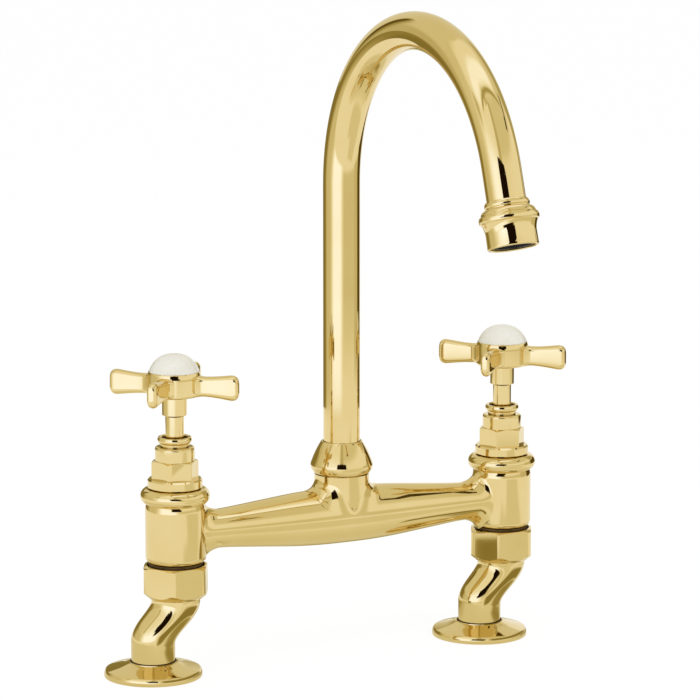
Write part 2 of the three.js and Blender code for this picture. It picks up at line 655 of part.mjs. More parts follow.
function movingDisc() {
  const top = movingDiscBottom + DISC_THICKNESS;
  let plate = solid(disc(discRadius, movingDiscBottom, top, HIDDEN_SIDES));
  for (const port of discPorts(movingDiscBottom, 90)) plate = plate.subtract(port);
  const slotWidth = TONGUE_WIDTH + 2 * CLEARANCE;
  const slot = new THREE.BoxGeometry(2 * discRadius + 2 * PAST, slotWidth, 2 * TONGUE_HEIGHT);
  return geometryOf(plate.subtract(solid(slot.translate(0, 0, top))));
}

function glandRing() {
  const foot = GLAND_RADIUS - GLAND_WAIST;
  const hole = holeRadius(STEM_RADIUS + CLEARANCE, SIDES);
  return revolve([
    [hole, glandThreadBottom],
    [GLAND_THREAD_RADIUS, glandThreadBottom],
    [GLAND_THREAD_RADIUS, glandBottom],
    [foot, glandBottom],
    [foot, glandBottom + GLAND_HEIGHT * 0.3],
    [GLAND_RADIUS, glandBottom + GLAND_HEIGHT * 0.6],
    [GLAND_RADIUS, glandTop - GLAND_EDGE],
    [GLAND_RADIUS - GLAND_EDGE, glandTop],
    [GLAND_CUP_RADIUS, glandTop],
    [GLAND_CUP_RADIUS, glandTop - GLAND_CUP_DEPTH],
    [hole, glandTop - GLAND_CUP_DEPTH],
  ]);
}

// ---- Spindle and handle: pieces that turn together ----------------------------------------------
function splineOutline(root, tip) {
  const points = Array.from({ length: 2 * SPLINE_TEETH }, (_, i) => {
    const angle = (Math.PI * i) / SPLINE_TEETH;
    const radius = i % 2 ? root : tip;
    return [radius * Math.cos(angle), radius * Math.sin(angle)];
  });
  return polygon(points);
}

const grooveBottom = collarBottom - SPINDLE_GROOVE_BELOW_COLLAR;
const grooveHeight = 2 * O_RING_SECTION + 2 * CLEARANCE;
const oRingRadius = SPINDLE_RADIUS - O_RING_SECTION;
const grooveRadius = oRingRadius - O_RING_SECTION - CLEARANCE;

function spindle() {
  const shaft = revolve([
    [0, spindleFootBottom],
    [discRadius, spindleFootBottom],
    [discRadius, spindleFootTop],
    [SPINDLE_RADIUS, spindleFootTop],
    [SPINDLE_RADIUS, grooveBottom],
    [grooveRadius, grooveBottom],
    [grooveRadius, grooveBottom + grooveHeight],
    [SPINDLE_RADIUS, grooveBottom + grooveHeight],
    [SPINDLE_RADIUS, collarBottom],
    [GLAND_THREAD_RADIUS - CLEARANCE, collarBottom],
    [GLAND_THREAD_RADIUS - CLEARANCE, collarTop],
    [STEM_RADIUS, collarTop],
    [STEM_RADIUS, stemTop],
    [0, stemTop],
  ], HIDDEN_SIDES);
  const spline = prism(splineOutline(SPLINE_ROOT_RADIUS, SPLINE_TIP_RADIUS), stemTop - PAST, splineTop);
  const tongueHeight = 2 * (TONGUE_HEIGHT - CLEARANCE);
  const tongue = new THREE.BoxGeometry(2 * (discRadius - CLEARANCE), TONGUE_WIDTH, tongueHeight);
  tongue.translate(0, 0, spindleFootBottom);
  const tappedEnd = screwHeadBottom - SCREW_LENGTH - PAST;
  const tapped = bore(SCREW_RADIUS + CLEARANCE, tappedEnd, splineTop + PAST, SCREW_SIDES);
  return geometryOf(solid(shaft).add(solid(spline)).add(solid(tongue)).subtract(solid(tapped)));
}

function ring(radius, section, middle, sides = HIDDEN_SIDES) {
  return revolve(arc(radius, middle, section, 0, 288, 4), sides);
}

const spindleORing = () => ring(oRingRadius, O_RING_SECTION, grooveBottom + grooveHeight / 2);

// One paddle arm: a flat blade that is lowest at the hub and flares to a rounded tip, with rounded edges.
function handleArm() {
  const round = ARM_EDGE;
  const neck = ARM_NECK_HEIGHT / 2 - round;
  const tip = ARM_TIP_HEIGHT / 2 - round;
  const reach = ARM_REACH - round;
  const corner = ARM_TIP_CORNER;
  const outline = [
    [HUB_RADIUS - ARM_ROOT_DEPTH, -neck],
    [HUB_RADIUS + ARM_NECK_SHOW, -neck],
    ...arc(reach - corner, -tip + corner, corner, -90, -10, 2),
    ...arc(reach - corner, tip - corner, corner, 10, 90, 2),
    [HUB_RADIUS + ARM_NECK_SHOW, neck],
    [HUB_RADIUS - ARM_ROOT_DEPTH, neck],
  ];
  const thick = ARM_THICKNESS - 2 * round;
  const bevel = { bevelEnabled: true, bevelSize: round, bevelThickness: round, bevelSegments: 1 };
  const blade = new THREE.ExtrudeGeometry(polygon(outline), { depth: thick, ...bevel });
  return blade.translate(0, 0, -thick / 2).rotateX(Math.PI / 2);
}

function handle() {
  const lip = HUB_EDGE;
  const body = revolve([
    [0, bossBottom],
    [BOSS_RADIUS - lip / 2, bossBottom],
    [BOSS_RADIUS, bossBottom + lip / 2],
    [BOSS_RADIUS, hubBottom],
    [HUB_RADIUS - lip, hubBottom],
    [HUB_RADIUS, hubBottom + lip],
    [HUB_RADIUS, hubTop - lip / 2],
    [HUB_RADIUS - lip / 2, hubTop],
    [0, hubTop],
  ]);
  let metal = solid(body);
  for (let i = 0; i < ARM_COUNT; i++) {
    const turn = THREE.MathUtils.degToRad(ARM_ANGLE) + (2 * Math.PI * i) / ARM_COUNT;
    metal = metal.add(solid(handleArm().rotateZ(turn).translate(0, 0, hubBottom + ARM_ABOVE_HUB)));
  }
  const wellRadius = SCREW_HEAD_RADIUS + CLEARANCE;
  const socket = splineOutline(SPLINE_ROOT_RADIUS + CLEARANCE, SPLINE_TIP_RADIUS + CLEARANCE);
  metal = metal.subtract(solid(prism(socket, bossBottom - PAST, splineSocketTop)));
  const holes = [
    bore(SCREW_RADIUS + CLEARANCE, splineSocketTop - PAST, screwSeat + PAST, SCREW_SIDES),
    bore(wellRadius, screwSeat, hubTop + PAST, HIDDEN_SIDES),
    bore(INDEX_RADIUS + CLEARANCE, indexSeat, hubTop + PAST),
  ];
  for (const hole of holes) metal = metal.subtract(solid(hole));
  return geometryOf(metal);
}

function handleScrew() {
  const shank = revolve([
    [0, screwHeadBottom - SCREW_LENGTH],
    [SCREW_RADIUS, screwHeadBottom - SCREW_LENGTH],
    [SCREW_RADIUS, screwHeadBottom],
    [SCREW_HEAD_RADIUS, screwHeadBottom],
    [SCREW_HEAD_RADIUS, screwHeadBottom + SCREW_HEAD_HEIGHT],
    [0, screwHeadBottom + SCREW_HEAD_HEIGHT],
  ], SCREW_SIDES);
  const slot = new THREE.BoxGeometry(2 * SCREW_HEAD_RADIUS + 2 * PAST, SCREW_SLOT, SCREW_HEAD_HEIGHT);
  slot.translate(0, 0, screwHeadBottom + SCREW_HEAD_HEIGHT);
  return geometryOf(solid(shank).subtract(solid(slot)));
}

// The white dome of a valve, with a low plug below that locates it in the hub's well.
function index() {
  const plug = SCREW_HEAD_RADIUS;
  const screwTop = screwHeadBottom + SCREW_HEAD_HEIGHT;
  const dome = arcThrough(
    [INDEX_RADIUS, hubTop],
    [INDEX_RADIUS * 0.74, hubTop + INDEX_DOME * 0.63],
    [0, hubTop + INDEX_DOME],
    4,
  );
  return revolve([[0, screwTop + CLEARANCE], [plug, screwTop + CLEARANCE], [plug, indexBottom],
    [INDEX_RADIUS, indexBottom], ...dome]);
}

// ---- Spout --------------------------------------------------------------------------------------
// The spout's centre line: up the column, round the bend and down to the end inside the nozzle.
// The rings of the tube stand at even steps of t, one on each straight and the others on the bend.
class SpoutLine extends THREE.Curve {
  constructor(bendSteps) {
    super();
    this.steps = bendSteps + 2;
  }
  getPoint(t, target = new THREE.Vector3()) {
    const station = t * this.steps;
    const onBend = THREE.MathUtils.clamp((station - 1) / (this.steps - 2), 0, 1) * bendAngle;
    target.set(0, -BEND_RADIUS * (1 - Math.cos(onBend)), BEND_START + BEND_RADIUS * Math.sin(onBend));
    const before = 1 - Math.min(station, 1);
    const after = Math.max(station - this.steps + 1, 0);
    target.z -= before * (BEND_START - tubeBottom);
    return target.addScaledVector(outletDirection, after * TUBE_END_LENGTH);
  }
  getUtoTmapping(u) {
    return u;
  }
}

const outletDirection = new THREE.Vector3(0, -Math.sin(bendAngle), Math.cos(bendAngle));

function spoutTube() {
  const line = new SpoutLine(BEND_STEPS);
  const section = circle(TUBE_RADIUS, SIDES);
  section.holes.push(circle(tubeBoreRadius, HIDDEN_SIDES));
  return new THREE.ExtrudeGeometry(section, { steps: line.steps, extrudePath: line, curveSegments: 1 });
}

// Heights of the two O-ring grooves in the shank.
const shankGroove = 2 * SHANK_O_RING_SECTION + 2 * CLEARANCE;
const shankGrooves = [0, 1].map((i) => shankBottom + SHANK_FIRST_GROOVE + SHANK_O_RING_PITCH * i);
const shankORingRadius = SHANK_RADIUS - SHANK_O_RING_SECTION;

function spoutShank() {
  const floor = shankORingRadius - SHANK_O_RING_SECTION - CLEARANCE;
  const grooves = shankGrooves.flatMap((bottom) => [
    [SHANK_RADIUS, bottom],
    [floor, bottom],
    [floor, bottom + shankGroove],
    [SHANK_RADIUS, bottom + shankGroove],
  ]);
  return revolve([
    [SHANK_BORE_RADIUS, shankBottom],
    [SHANK_RADIUS, shankBottom],
    ...grooves,
    [SHANK_RADIUS, shankFlangeBottom],
    [SPIGOT_RADIUS - CLEARANCE, shankFlangeBottom],
    [SPIGOT_RADIUS - CLEARANCE, shankFlangeTop],
    [tubeBoreRadius - CLEARANCE, shankFlangeTop],
    [tubeBoreRadius - CLEARANCE, shankFlangeTop + SHANK_SPIGOT_LENGTH],
    [SHANK_BORE_RADIUS, shankFlangeTop + SHANK_SPIGOT_LENGTH],
  ], HIDDEN_SIDES);
}

const spoutORing = (bottom) => ring(shankORingRadius, SHANK_O_RING_SECTION, bottom + shankGroove / 2);

const glideWasher = () => washer(socketRadius, SPIGOT_RADIUS, glideWasherBottom, GLIDE_WASHER_THICKNESS);

// The domed collar screws down over the neck's spigot and keeps the shank's flange in.
function spoutCollar() {
  const cavity = holeRadius(SPIGOT_RADIUS + CLEARANCE, SIDES);
  const hole = holeRadius(TUBE_RADIUS + CLEARANCE, SIDES);
  const roof = shankFlangeTop + CLEARANCE;
  const widest = spoutCollarBottom + COLLAR_WIDEST;
  const underside = arcThrough(
    [NECK_RADIUS, spoutCollarBottom],
    [COLLAR_RADIUS - COLLAR_UNDER[0], spoutCollarBottom + COLLAR_UNDER[1]],
    [COLLAR_RADIUS, widest],
    2,
  );
  const dome = arcThrough(
    [COLLAR_RADIUS, widest],
    [COLLAR_RADIUS - COLLAR_DOME[0], widest + COLLAR_DOME[1]],
    [COLLAR_TOP_RADIUS, spoutCollarTop],
    4,
  );
  return revolve([[cavity, spoutCollarBottom], ...underside.slice(0, -1), ...dome,
    [hole, spoutCollarTop], [hole, roof], [cavity, roof]]);
}

// The nozzle and the aerator are turned pieces, drawn along +Z from the nozzle's rear edge to its mouth.
const aeratorRadius = NOZZLE_MOUTH_RADIUS - NOZZLE_WALL - CLEARANCE;
const throatEnd = NOZZLE_SOCKET + CLEARANCE + NOZZLE_THROAT_LENGTH;
const aeratorWasherStart = throatEnd + CLEARANCE;
const aeratorStart = aeratorWasherStart + WASHER_THICKNESS + CLEARANCE;
const aeratorEnd = NOZZLE_LENGTH - AERATOR_WALL;
const screenStart = aeratorStart + CLEARANCE / 2;
const ledgeStart = screenStart + SCREEN_THICKNESS + CLEARANCE;
const aeratorBore = aeratorRadius - AERATOR_WALL;

function nozzle() {
  const socket = holeRadius(TUBE_RADIUS + CLEARANCE, SIDES);
  const chamber = holeRadius(aeratorRadius + CLEARANCE, SIDES);
  const shell = [
    [socket, 0],
    [socket + 0.8, 2.4],
    [socket + 0.4, 3.1],
    ...arcThrough(
      [NOZZLE_BULGE_RADIUS - 1.9, 5],
      [NOZZLE_BULGE_RADIUS - 0.5, 7],
      [NOZZLE_BULGE_RADIUS, 8.7],
      2,
    ),
    ...arcThrough(
      [NOZZLE_BULGE_RADIUS - 0.5, 9.8],
      [NOZZLE_MOUTH_RADIUS + 0.55, 11.6],
      [NOZZLE_MOUTH_RADIUS - 0.1, 14.6],
      2,
    ),
    [NOZZLE_MOUTH_RADIUS, NOZZLE_LENGTH - NOZZLE_EDGE],
    [NOZZLE_MOUTH_RADIUS - NOZZLE_EDGE, NOZZLE_LENGTH],
    [chamber, NOZZLE_LENGTH],
    [chamber, throatEnd],
    [NOZZLE_THROAT_RADIUS, throatEnd],
    [NOZZLE_THROAT_RADIUS, NOZZLE_SOCKET + CLEARANCE],
    [socket, NOZZLE_SOCKET + CLEARANCE],
  ];
  return revolve(shell);
}

const aeratorWasher = () =>
  washer(NOZZLE_THROAT_RADIUS, aeratorRadius, aeratorWasherStart, WASHER_THICKNESS);

function aeratorHousing() {
  const seat = aeratorBore + AERATOR_SEAT;
  return revolve([
    [seat, aeratorStart],
    [aeratorRadius, aeratorStart],
    [aeratorRadius, aeratorEnd],
    [aeratorBore, aeratorEnd],
    [aeratorBore, ledgeStart + AERATOR_LEDGE_HEIGHT],
    [aeratorBore - AERATOR_LEDGE, ledgeStart + AERATOR_LEDGE_HEIGHT - CLEARANCE],
    [aeratorBore - AERATOR_LEDGE, ledgeStart],
    [seat, ledgeStart],
  ], HIDDEN_SIDES);
}

// A disc pierced by a middle hole and a ring of holes.
function aeratorScreen() {
  const end = screenStart + SCREEN_THICKNESS;
  let plate = solid(disc(aeratorBore + AERATOR_SEAT - CLEARANCE, screenStart, end, HIDDEN_SIDES));
  const centres = [[0, 0], ...arc(0, 0, SCREEN_HOLE_PITCH, 0, 360, SCREEN_HOLES_ROUND).slice(1)];
  for (const [x, y] of centres) {
    const hole = disc(SCREEN_HOLE_RADIUS, screenStart - PAST, end + PAST, 6).translate(x, y, 0);
    plate = plate.subtract(solid(hole));
  }
  return geometryOf(plate);
}

// ---- Assembly -----------------------------------------------------------------------------------
const tap = new THREE.Group();
tap.name = "bridge_kitchen_faucet";

function add(parent, name, geometry, material) {
  const mesh = new THREE.Mesh(geometry, material);
  mesh.name = name;
  parent.add(mesh);
}

add(tap, "bridge_body", bridgeBody(), polishedBrass());
add(tap, "spout_collar", spoutCollar(), polishedBrass());
add(tap, "spout_glide_washer", glideWasher(), nylon());
add(tap, "spout_tube", spoutTube(), polishedBrass());
add(tap, "spout_shank", spoutShank(), plainBrass());
add(tap, "spout_o_ring_lower", spoutORing(shankGrooves[0]), blackRubber());
add(tap, "spout_o_ring_upper", spoutORing(shankGrooves[1]), blackRubber());

// The nozzle's own group sits on the end of the tube and looks down the stream.
const outlet = new THREE.Group();
outlet.position.set(0, -BEND_RADIUS * (1 - Math.cos(bendAngle)), BEND_START);
outlet.position.z += BEND_RADIUS * Math.sin(bendAngle);
outlet.position.addScaledVector(outletDirection, TUBE_END_LENGTH - NOZZLE_SOCKET);
outlet.rotation.x = Math.PI - nozzleTurn;
tap.add(outlet);
add(outlet, "nozzle", nozzle(), polishedBrass());
add(outlet, "aerator_washer", aeratorWasher(), blackRubber());
add(outlet, "aerator_housing", aeratorHousing(), blackPlastic());
add(outlet, "aerator_screen", aeratorScreen(), steel());

for (const [hand, side] of [["left", -1], ["right", 1]]) {
  const valve = new THREE.Group();
  valve.position.x = (side * VALVE_SPACING) / 2;
  tap.add(valve);
  add(valve, `leg_${hand}`, leg(), polishedBrass());
  add(valve, `union_nut_${hand}`, unionNut(), polishedBrass());
  add(valve, `union_washer_${hand}`, unionWasher(), blackRubber());
  add(valve, `headwork_${hand}`, headwork(), polishedBrass());
  add(valve, `seat_seal_${hand}`, seatSeal(), blackRubber());
  add(valve, `fixed_disc_${hand}`, fixedDisc(), ceramic());
  add(valve, `moving_disc_${hand}`, movingDisc(), ceramic());
  add(valve, `gland_ring_${hand}`, glandRing(), polishedBrass());
  add(valve, `spindle_${hand}`, spindle(), polishedBrass());
  add(valve, `spindle_o_ring_${hand}`, spindleORing(), blackRubber());
  add(valve, `handle_${hand}`, handle(), polishedBrass());
  add(valve, `handle_screw_${hand}`, handleScrew(), steel());
  add(valve, `index_${hand}`, index(), whiteEnamel());

  const foot = new THREE.Group();
  foot.position.x = -CRANK_OFFSET;
  valve.add(foot);
  add(foot, `flange_${hand}`, flange(), polishedBrass());
  add(foot, `flange_gasket_${hand}`, gasket(), blackRubber());
}

export default tap;
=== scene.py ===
"""A two-hole bridge kitchen tap in polished brass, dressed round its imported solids.

Every piece is modelled where the frame says, in metres, and rides on its solid's body.
"""

import json
import math

import bpy
from mathutils import Matrix, Vector


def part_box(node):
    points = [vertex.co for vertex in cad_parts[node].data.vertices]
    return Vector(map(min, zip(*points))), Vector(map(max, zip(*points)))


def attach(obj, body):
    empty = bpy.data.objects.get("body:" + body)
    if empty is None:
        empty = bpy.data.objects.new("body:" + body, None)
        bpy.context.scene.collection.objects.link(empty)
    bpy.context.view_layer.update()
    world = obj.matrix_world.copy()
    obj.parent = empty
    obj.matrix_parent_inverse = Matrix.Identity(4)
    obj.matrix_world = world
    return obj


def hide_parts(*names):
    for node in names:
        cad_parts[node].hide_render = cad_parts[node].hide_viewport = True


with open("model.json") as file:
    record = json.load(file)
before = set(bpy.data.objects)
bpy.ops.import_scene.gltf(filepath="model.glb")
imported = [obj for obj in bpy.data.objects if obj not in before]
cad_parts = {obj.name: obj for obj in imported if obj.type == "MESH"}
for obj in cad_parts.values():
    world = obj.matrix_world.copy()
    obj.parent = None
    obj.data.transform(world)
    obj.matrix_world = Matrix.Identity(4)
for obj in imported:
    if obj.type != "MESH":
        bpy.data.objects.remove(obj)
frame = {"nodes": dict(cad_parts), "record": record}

bl_info = {
    "name": "Bridge kitchen tap",
    "version": (1, 0, 0),
    "blender": (4, 5, 0),
    "location": "3D View > Sidebar > Tap",
    "description": "Models a two-hole bridge kitchen tap with cross handles and a swan-neck spout",
    "category": "Object",
}

MM = 0.001
HANDS = ("left", "right")
BODY, SPOUT = "tap_body", "spout"

# ---- Levels and places read from the frame, in metres ----------------------------------------------------


def low(node):
    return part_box(node)[0]


def high(node):
    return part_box(node)[1]


def middle_x(node):
    return (low(node).x + high(node).x) / 2


VALVE_X = {hand: middle_x(f"headwork_{hand}") for hand in HANDS}
FOOT_X = {hand: middle_x(f"flange_{hand}") for hand in HANDS}
NUT_BOTTOM, NUT_TOP = low("union_nut_left").z, high("union_nut_left").z
LEG_TOP = high("leg_left").z
BARREL_BOTTOM, SPIGOT_TOP = low("bridge_body").z, high("bridge_body").z
SKIRT_BOTTOM, SHOULDER_TOP = low("headwork_left").z, high("headwork_left").z
GLAND_BOTTOM, GLAND_TOP = low("gland_ring_left").z, high("gland_ring_left").z
SPINDLE_BOTTOM, SPINDLE_TOP = low("spindle_left").z, high("spindle_left").z
HANDLE_BOTTOM, HANDLE_TOP = low("handle_left").z, high("handle_left").z
INDEX_BOTTOM, INDEX_TOP = low("index_left").z, high("index_left").z
COLLAR_BOTTOM, COLLAR_TOP = low("spout_collar").z, high("spout_collar").z
TUBE_BOTTOM = low("spout_tube").z
FLANGE_RADIUS = (high("flange_left").x - low("flange_left").x) / 2

# Levels that the frame's boxes don't give
BRIDGE_AXIS = BARREL_BOTTOM + 22 * MM
TAIL_TOP = BARREL_BOTTOM + 7.9 * MM       # of the barrel's threaded tail
BEAD_BOTTOM = TAIL_TOP + 28.9 * MM
BEAD_TOP = BEAD_BOTTOM + 7.5 * MM
BEZEL_BOTTOM = BARREL_BOTTOM + 44.6 * MM
COLLAR_LIFT = 1.4 * MM                    # from the solid collar's lower edge to the one that shows

FINE_SIDES = 128    # steps round the large turned pieces


# ---- Sizes and colours that a user may change ------------------------------------------------------------


def length(name, description, default):
    return bpy.props.FloatProperty(
        name=name, description=description, default=default, min=0.1 * MM, max=500 * MM,
        subtype="DISTANCE", unit="LENGTH",
    )


def colour(name, description, default):
    return bpy.props.FloatVectorProperty(
        name=name, description=description, default=default, size=3, min=0, max=1, subtype="COLOR"
    )


def share(name, description, default, high_end=1.0):
    return bpy.props.FloatProperty(
        name=name, description=description, default=default, min=0, max=high_end, subtype="FACTOR"
    )


class TapSizes(bpy.types.PropertyGroup):
    """Main radii and edges of the tap"""

    tube_radius: length("Spout tube", "Radius of the swan-neck tube", 9 * MM)
    bend_radius: length("Spout bend", "Radius of the bend's centre line", 80.6 * MM)
    barrel_radius: length("Barrel", "Radius of the valve barrels", 14.6 * MM)
    bead_radius: length("Bead", "Radius of the bead round a barrel's top", 16.8 * MM)
    arm_end_radius: length("Bridge end", "Radius of the bridge where it meets a barrel", 9.3 * MM)
    arm_middle_radius: length("Bridge middle", "Radius of the bridge below the spout", 13.8 * MM)
    fillet_radius: length("Bridge fillet", "Radius of the casting's inner corners", 5.5 * MM)
    neck_radius: length("Neck", "Radius of the neck that carries the spout", 13.5 * MM)
    flange_radius: length("Flange", "Radius of the deck flanges", FLANGE_RADIUS)
    pipe_radius: length("Leg pipe", "Radius of the legs at the worktop", 10.6 * MM)
    hub_radius: length("Handle hub", "Radius of the handles' hubs", 13 * MM)
    index_radius: length("Index", "Radius of the domed indices", 12.1 * MM)


class TapFinish(bpy.types.PropertyGroup):
    """Colours and gloss of the tap"""

    brass: colour("Polished brass", "Colour of the polished brass", (0.80, 0.64, 0.30))
    brass_deep: colour("Deep brass", "Colour where the lacquer has darkened", (0.775, 0.605, 0.268))
    plain_brass: colour("Plain brass", "Colour of brass as machined", (0.62, 0.46, 0.17))
    gloss: share("Brass roughness", "Roughness of the polished brass", 0.04)
    enamel: colour("Index enamel", "Colour of the domed indices", (0.87, 0.85, 0.765))
    ceramic: colour("Ceramic", "Colour of the valve discs", (0.80, 0.78, 0.73))
    rubber: colour("Rubber", "Colour of the seals", (0.015, 0.015, 0.015))
    nylon: colour("Nylon", "Colour of the glide washer", (0.78, 0.75, 0.66))
    black_plastic: colour("Black plastic", "Colour of the aerator's cup", (0.03, 0.03, 0.03))
    # The recess colour is painted shade: dark brass put on threads, cups and gaps where shade falls.
    shaded_recess: colour("Recess", "Colour of tarnished brass in threads and cups", (0.17, 0.105, 0.04))
    # The wire colour is painted shade: the steel mesh is darkened to stand in for the shade inside the
    # nozzle's mouth.
    wire: colour("Wire", "Colour of the aerator's mesh", (0.10, 0.10, 0.09))
    steel: colour("Steel", "Colour of screws and the aerator's mesh", (0.60, 0.61, 0.62))


class StudioLook(bpy.types.PropertyGroup):
    """Floor, lights and camera"""

    light_level: share("Light level", "Strength of the world on the object", 0.72, 4)
    lamp_level: share("Lamp level", "Share of the lamps' full power", 0.4)
    floor_shadow: share("Floor shadow", "How much of the object's shadow the floor shows", 0.12)
    floor_glow: share("Floor glow", "Brightness of the floor's own white", 1.035, 2)
    lens: bpy.props.FloatProperty(
        name="Lens", description="Focal length of the camera", default=209.7, min=20, max=400, unit="CAMERA"
    )


# ---- Modelling by hand -----------------------------------------------------------------------------------


def only(piece):
    bpy.ops.object.select_all(action="DESELECT")
    piece.select_set(True)
    bpy.context.view_layer.objects.active = piece


def edit(piece):
    only(piece)
    bpy.ops.object.mode_set(mode="EDIT")
    bpy.ops.mesh.select_mode(type="VERT")
    bpy.ops.mesh.select_all(action="SELECT")


def leave_edit():
    bpy.ops.object.mode_set(mode="OBJECT")


def name_piece(piece, name):
    piece.name = name
    piece.data.name = name
    return piece


def start_vertex(name, point):
    """One vertex at a point, in edit mode, ready to extrude."""
    bpy.ops.object.select_all(action="DESELECT")
    bpy.ops.mesh.primitive_plane_add(size=0.01)
    piece = name_piece(bpy.context.object, name)
    edit(piece)
    bpy.ops.mesh.merge(type="CENTER")
    bpy.ops.transform.translate(value=point)
    return piece


def edit_marked(piece):
    """Into edit mode with only the vertices that were marked in code."""
    for polygon in piece.data.polygons:
        polygon.select = False
    for edge in piece.data.edges:
        edge.select = all(piece.data.vertices[i].select for i in edge.vertices)
    bpy.context.tool_settings.mesh_select_mode = (True, False, False)
    bpy.ops.object.mode_set(mode="EDIT")


def tidy_mesh():
    """Merges doubles and turns the faces outwards, in edit mode."""
    bpy.ops.mesh.select_all(action="SELECT")
    bpy.ops.mesh.remove_doubles(threshold=0.001 * MM)
    bpy.ops.mesh.normals_make_consistent(inside=False)


def turned(name, profile, axis=(0, 0), sides=96):
    """Draws a profile of [radius, height] points, closes it unless it ends on the axis, and spins it."""
    x, y = axis
    points = [Vector((x + radius, y, height)) for radius, height in profile]
    if profile[0][0] > 0 or profile[-1][0] > 0:
        points.append(points[0])
    piece = start_vertex(name, points[0])
    for before, after in zip(points, points[1:]):
        bpy.ops.mesh.extrude_vertices_move(TRANSFORM_OT_translate={"value": after - before})
    bpy.ops.mesh.select_all(action="SELECT")
    bpy.ops.mesh.remove_doubles(threshold=1e-7)
    bpy.ops.mesh.spin(steps=sides, angle=2 * math.pi, center=(x, y, 0), axis=(0, 0, 1))
    tidy_mesh()
    leave_edit()
    return piece


def arc(centre, radius, start, end, steps=8):
    """Points of an arc from one angle to another, in degrees."""
    angles = [math.radians(start + (end - start) * i / steps) for i in range(steps + 1)]
    return [(centre[0] + radius * math.cos(a), centre[1] + radius * math.sin(a)) for a in angles]


def arc_through(first, second, third, steps=10):
    """Points of the arc through three points, from the first to the third."""
    (ax, ay), (bx, by), (cx, cy) = first, second, third
    d = 2 * (ax * (by - cy) + bx * (cy - ay) + cx * (ay - by))
    a, b, c = ax * ax + ay * ay, bx * bx + by * by, cx * cx + cy * cy
    x = (a * (by - cy) + b * (cy - ay) + c * (ay - by)) / d
    y = (a * (cx - bx) + b * (ax - cx) + c * (bx - ax)) / d
    start = math.degrees(math.atan2(ay - y, ax - x))
    turn = (math.degrees(math.atan2(cy - y, cx - x)) - start) % 360
    if d < 0:
        turn -= 360
    return arc((x, y), math.hypot(ax - x, ay - y), start, start + turn, steps)


def curve_through(points, steps=6):
    """A smooth run through [radius, height] points, for shapes that flow."""
    run = []
    ends = [points[0], *points, points[-1]]
    for p0, p1, p2, p3 in zip(ends, ends[1:], ends[2:], ends[3:]):
        for i in range(steps):
            t = i / steps
            run.append(tuple(
                0.5 * (2 * b + (c - a) * t + (2 * a - 5 * b + 4 * c - d) * t * t
                       + (3 * b - a - 3 * c + d) * t ** 3)
                for a, b, c, d in zip(p0, p1, p2, p3)
            ))
    return [*run, points[-1]]


def millimetres(profile, above=0.0):
    """A profile drawn in millimetres above a level, in metres."""
    return [(radius * MM, above + height * MM) for radius, height in profile]


def modify(piece, kind, **settings):
    only(piece)
    modifier = piece.modifiers.new(kind.title(), kind)
    for key, value in settings.items():
        setattr(modifier, key, value)
    bpy.ops.object.modifier_apply(modifier=modifier.name)
    return piece


def combine(piece, other, operation="UNION"):
    modify(piece, "BOOLEAN", operation=operation, object=other, solver="EXACT")
    bpy.data.objects.remove(other)
    return piece


def soften(piece, width, segments=3, angle=32):
    """Rounds every edge sharper than an angle, as polishing does."""
    return modify(
        piece, "BEVEL", width=width, segments=segments, limit_method="ANGLE", angle_limit=math.radians(angle),
        use_clamp_overlap=True, harden_normals=False,
    )


def smooth(piece, angle=36):
    only(piece)
    bpy.ops.object.shade_smooth_by_angle(angle=math.radians(angle))
    return piece


def even_shading(piece, angle=36):
    """Smooth shading that follows the large faces, so flats stay flat and cut edges leave no ragged lines."""
    smooth(piece, angle)
    return modify(piece, "WEIGHTED_NORMAL", mode="FACE_AREA", weight=50, keep_sharp=True)


def inside_bore(x, radius, above=0.0):
    """A test for points nearer than a radius to an upright axis at x, and above a level."""
    return lambda at: math.hypot(at.x - x, at.y) < radius and at.z > above


def paint_recess_shade(piece, is_recess):
    """Paints shade into the faces in a thread or cup by giving them their own dark material. is_recess tests a
    face's middle.
    """
    piece.data.materials.append(recess_shade_brass())
    for face in piece.data.polygons:
        if is_recess(face.center):
            face.material_index = 1
    return piece


def place(piece, location=(0, 0, 0), turn=0, axis="Z"):
    """Turns and moves a piece, and applies it to the mesh."""
    piece.matrix_world = Matrix.Translation(location) @ Matrix.Rotation(turn, 4, axis) @ piece.matrix_world
    only(piece)
    bpy.ops.object.transform_apply(location=True, rotation=True, scale=True)
    return piece


def cylinder(radius, bottom, top, axis=(0, 0), sides=48):
    bpy.ops.object.select_all(action="DESELECT")
    bpy.ops.mesh.primitive_cylinder_add(
        vertices=sides, radius=radius, depth=top - bottom, location=(*axis, (bottom + top) / 2)
    )
    piece = bpy.context.object
    bpy.ops.object.transform_apply(location=True, rotation=True, scale=True)
    return piece


def drill(piece, radius, bottom, top, axis=(0, 0), sides=48):
    """Cuts a round, upright hole."""
    return combine(piece, cylinder(radius, bottom, top, axis, sides), "DIFFERENCE")


def hexagon(name, across_flats, bottom, top, axis, corner_round, turn):
    """A hexagonal prism with its upright corners rounded."""
    piece = name_piece(cylinder(across_flats / math.sqrt(3), bottom, top, (0, 0), 6), name)
    edit(piece)
    bpy.ops.mesh.select_all(action="DESELECT")
    bpy.ops.mesh.select_mode(type="EDGE")
    leave_edit()
    for edge in piece.data.edges:
        a, b = [piece.data.vertices[i].co for i in edge.vertices]
        edge.select = abs(a.z - b.z) > (top - bottom) / 2
    bpy.ops.object.mode_set(mode="EDIT")
    bpy.ops.mesh.bevel(offset=corner_round, segments=5)
    leave_edit()
    return place(piece, (*axis, 0), turn - math.radians(30))


def finish_piece(piece, body, slot, material, *nodes):
    """Gives a finished piece its material, its body and the solids that it stands for."""
    piece.data.materials.clear()
    piece.data.materials.append(material)
    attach(piece, body)
    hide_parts(*nodes)
    return piece


def sizes():
    return bpy.context.scene.tap_sizes


def finishes():
    return bpy.context.scene.tap_finish


# ---- Materials -------------------------------------------------------------------------------------------


NOISE_LOW, NOISE_HIGH = 0.35, 0.65    # between these nearly all of a noise's values lie


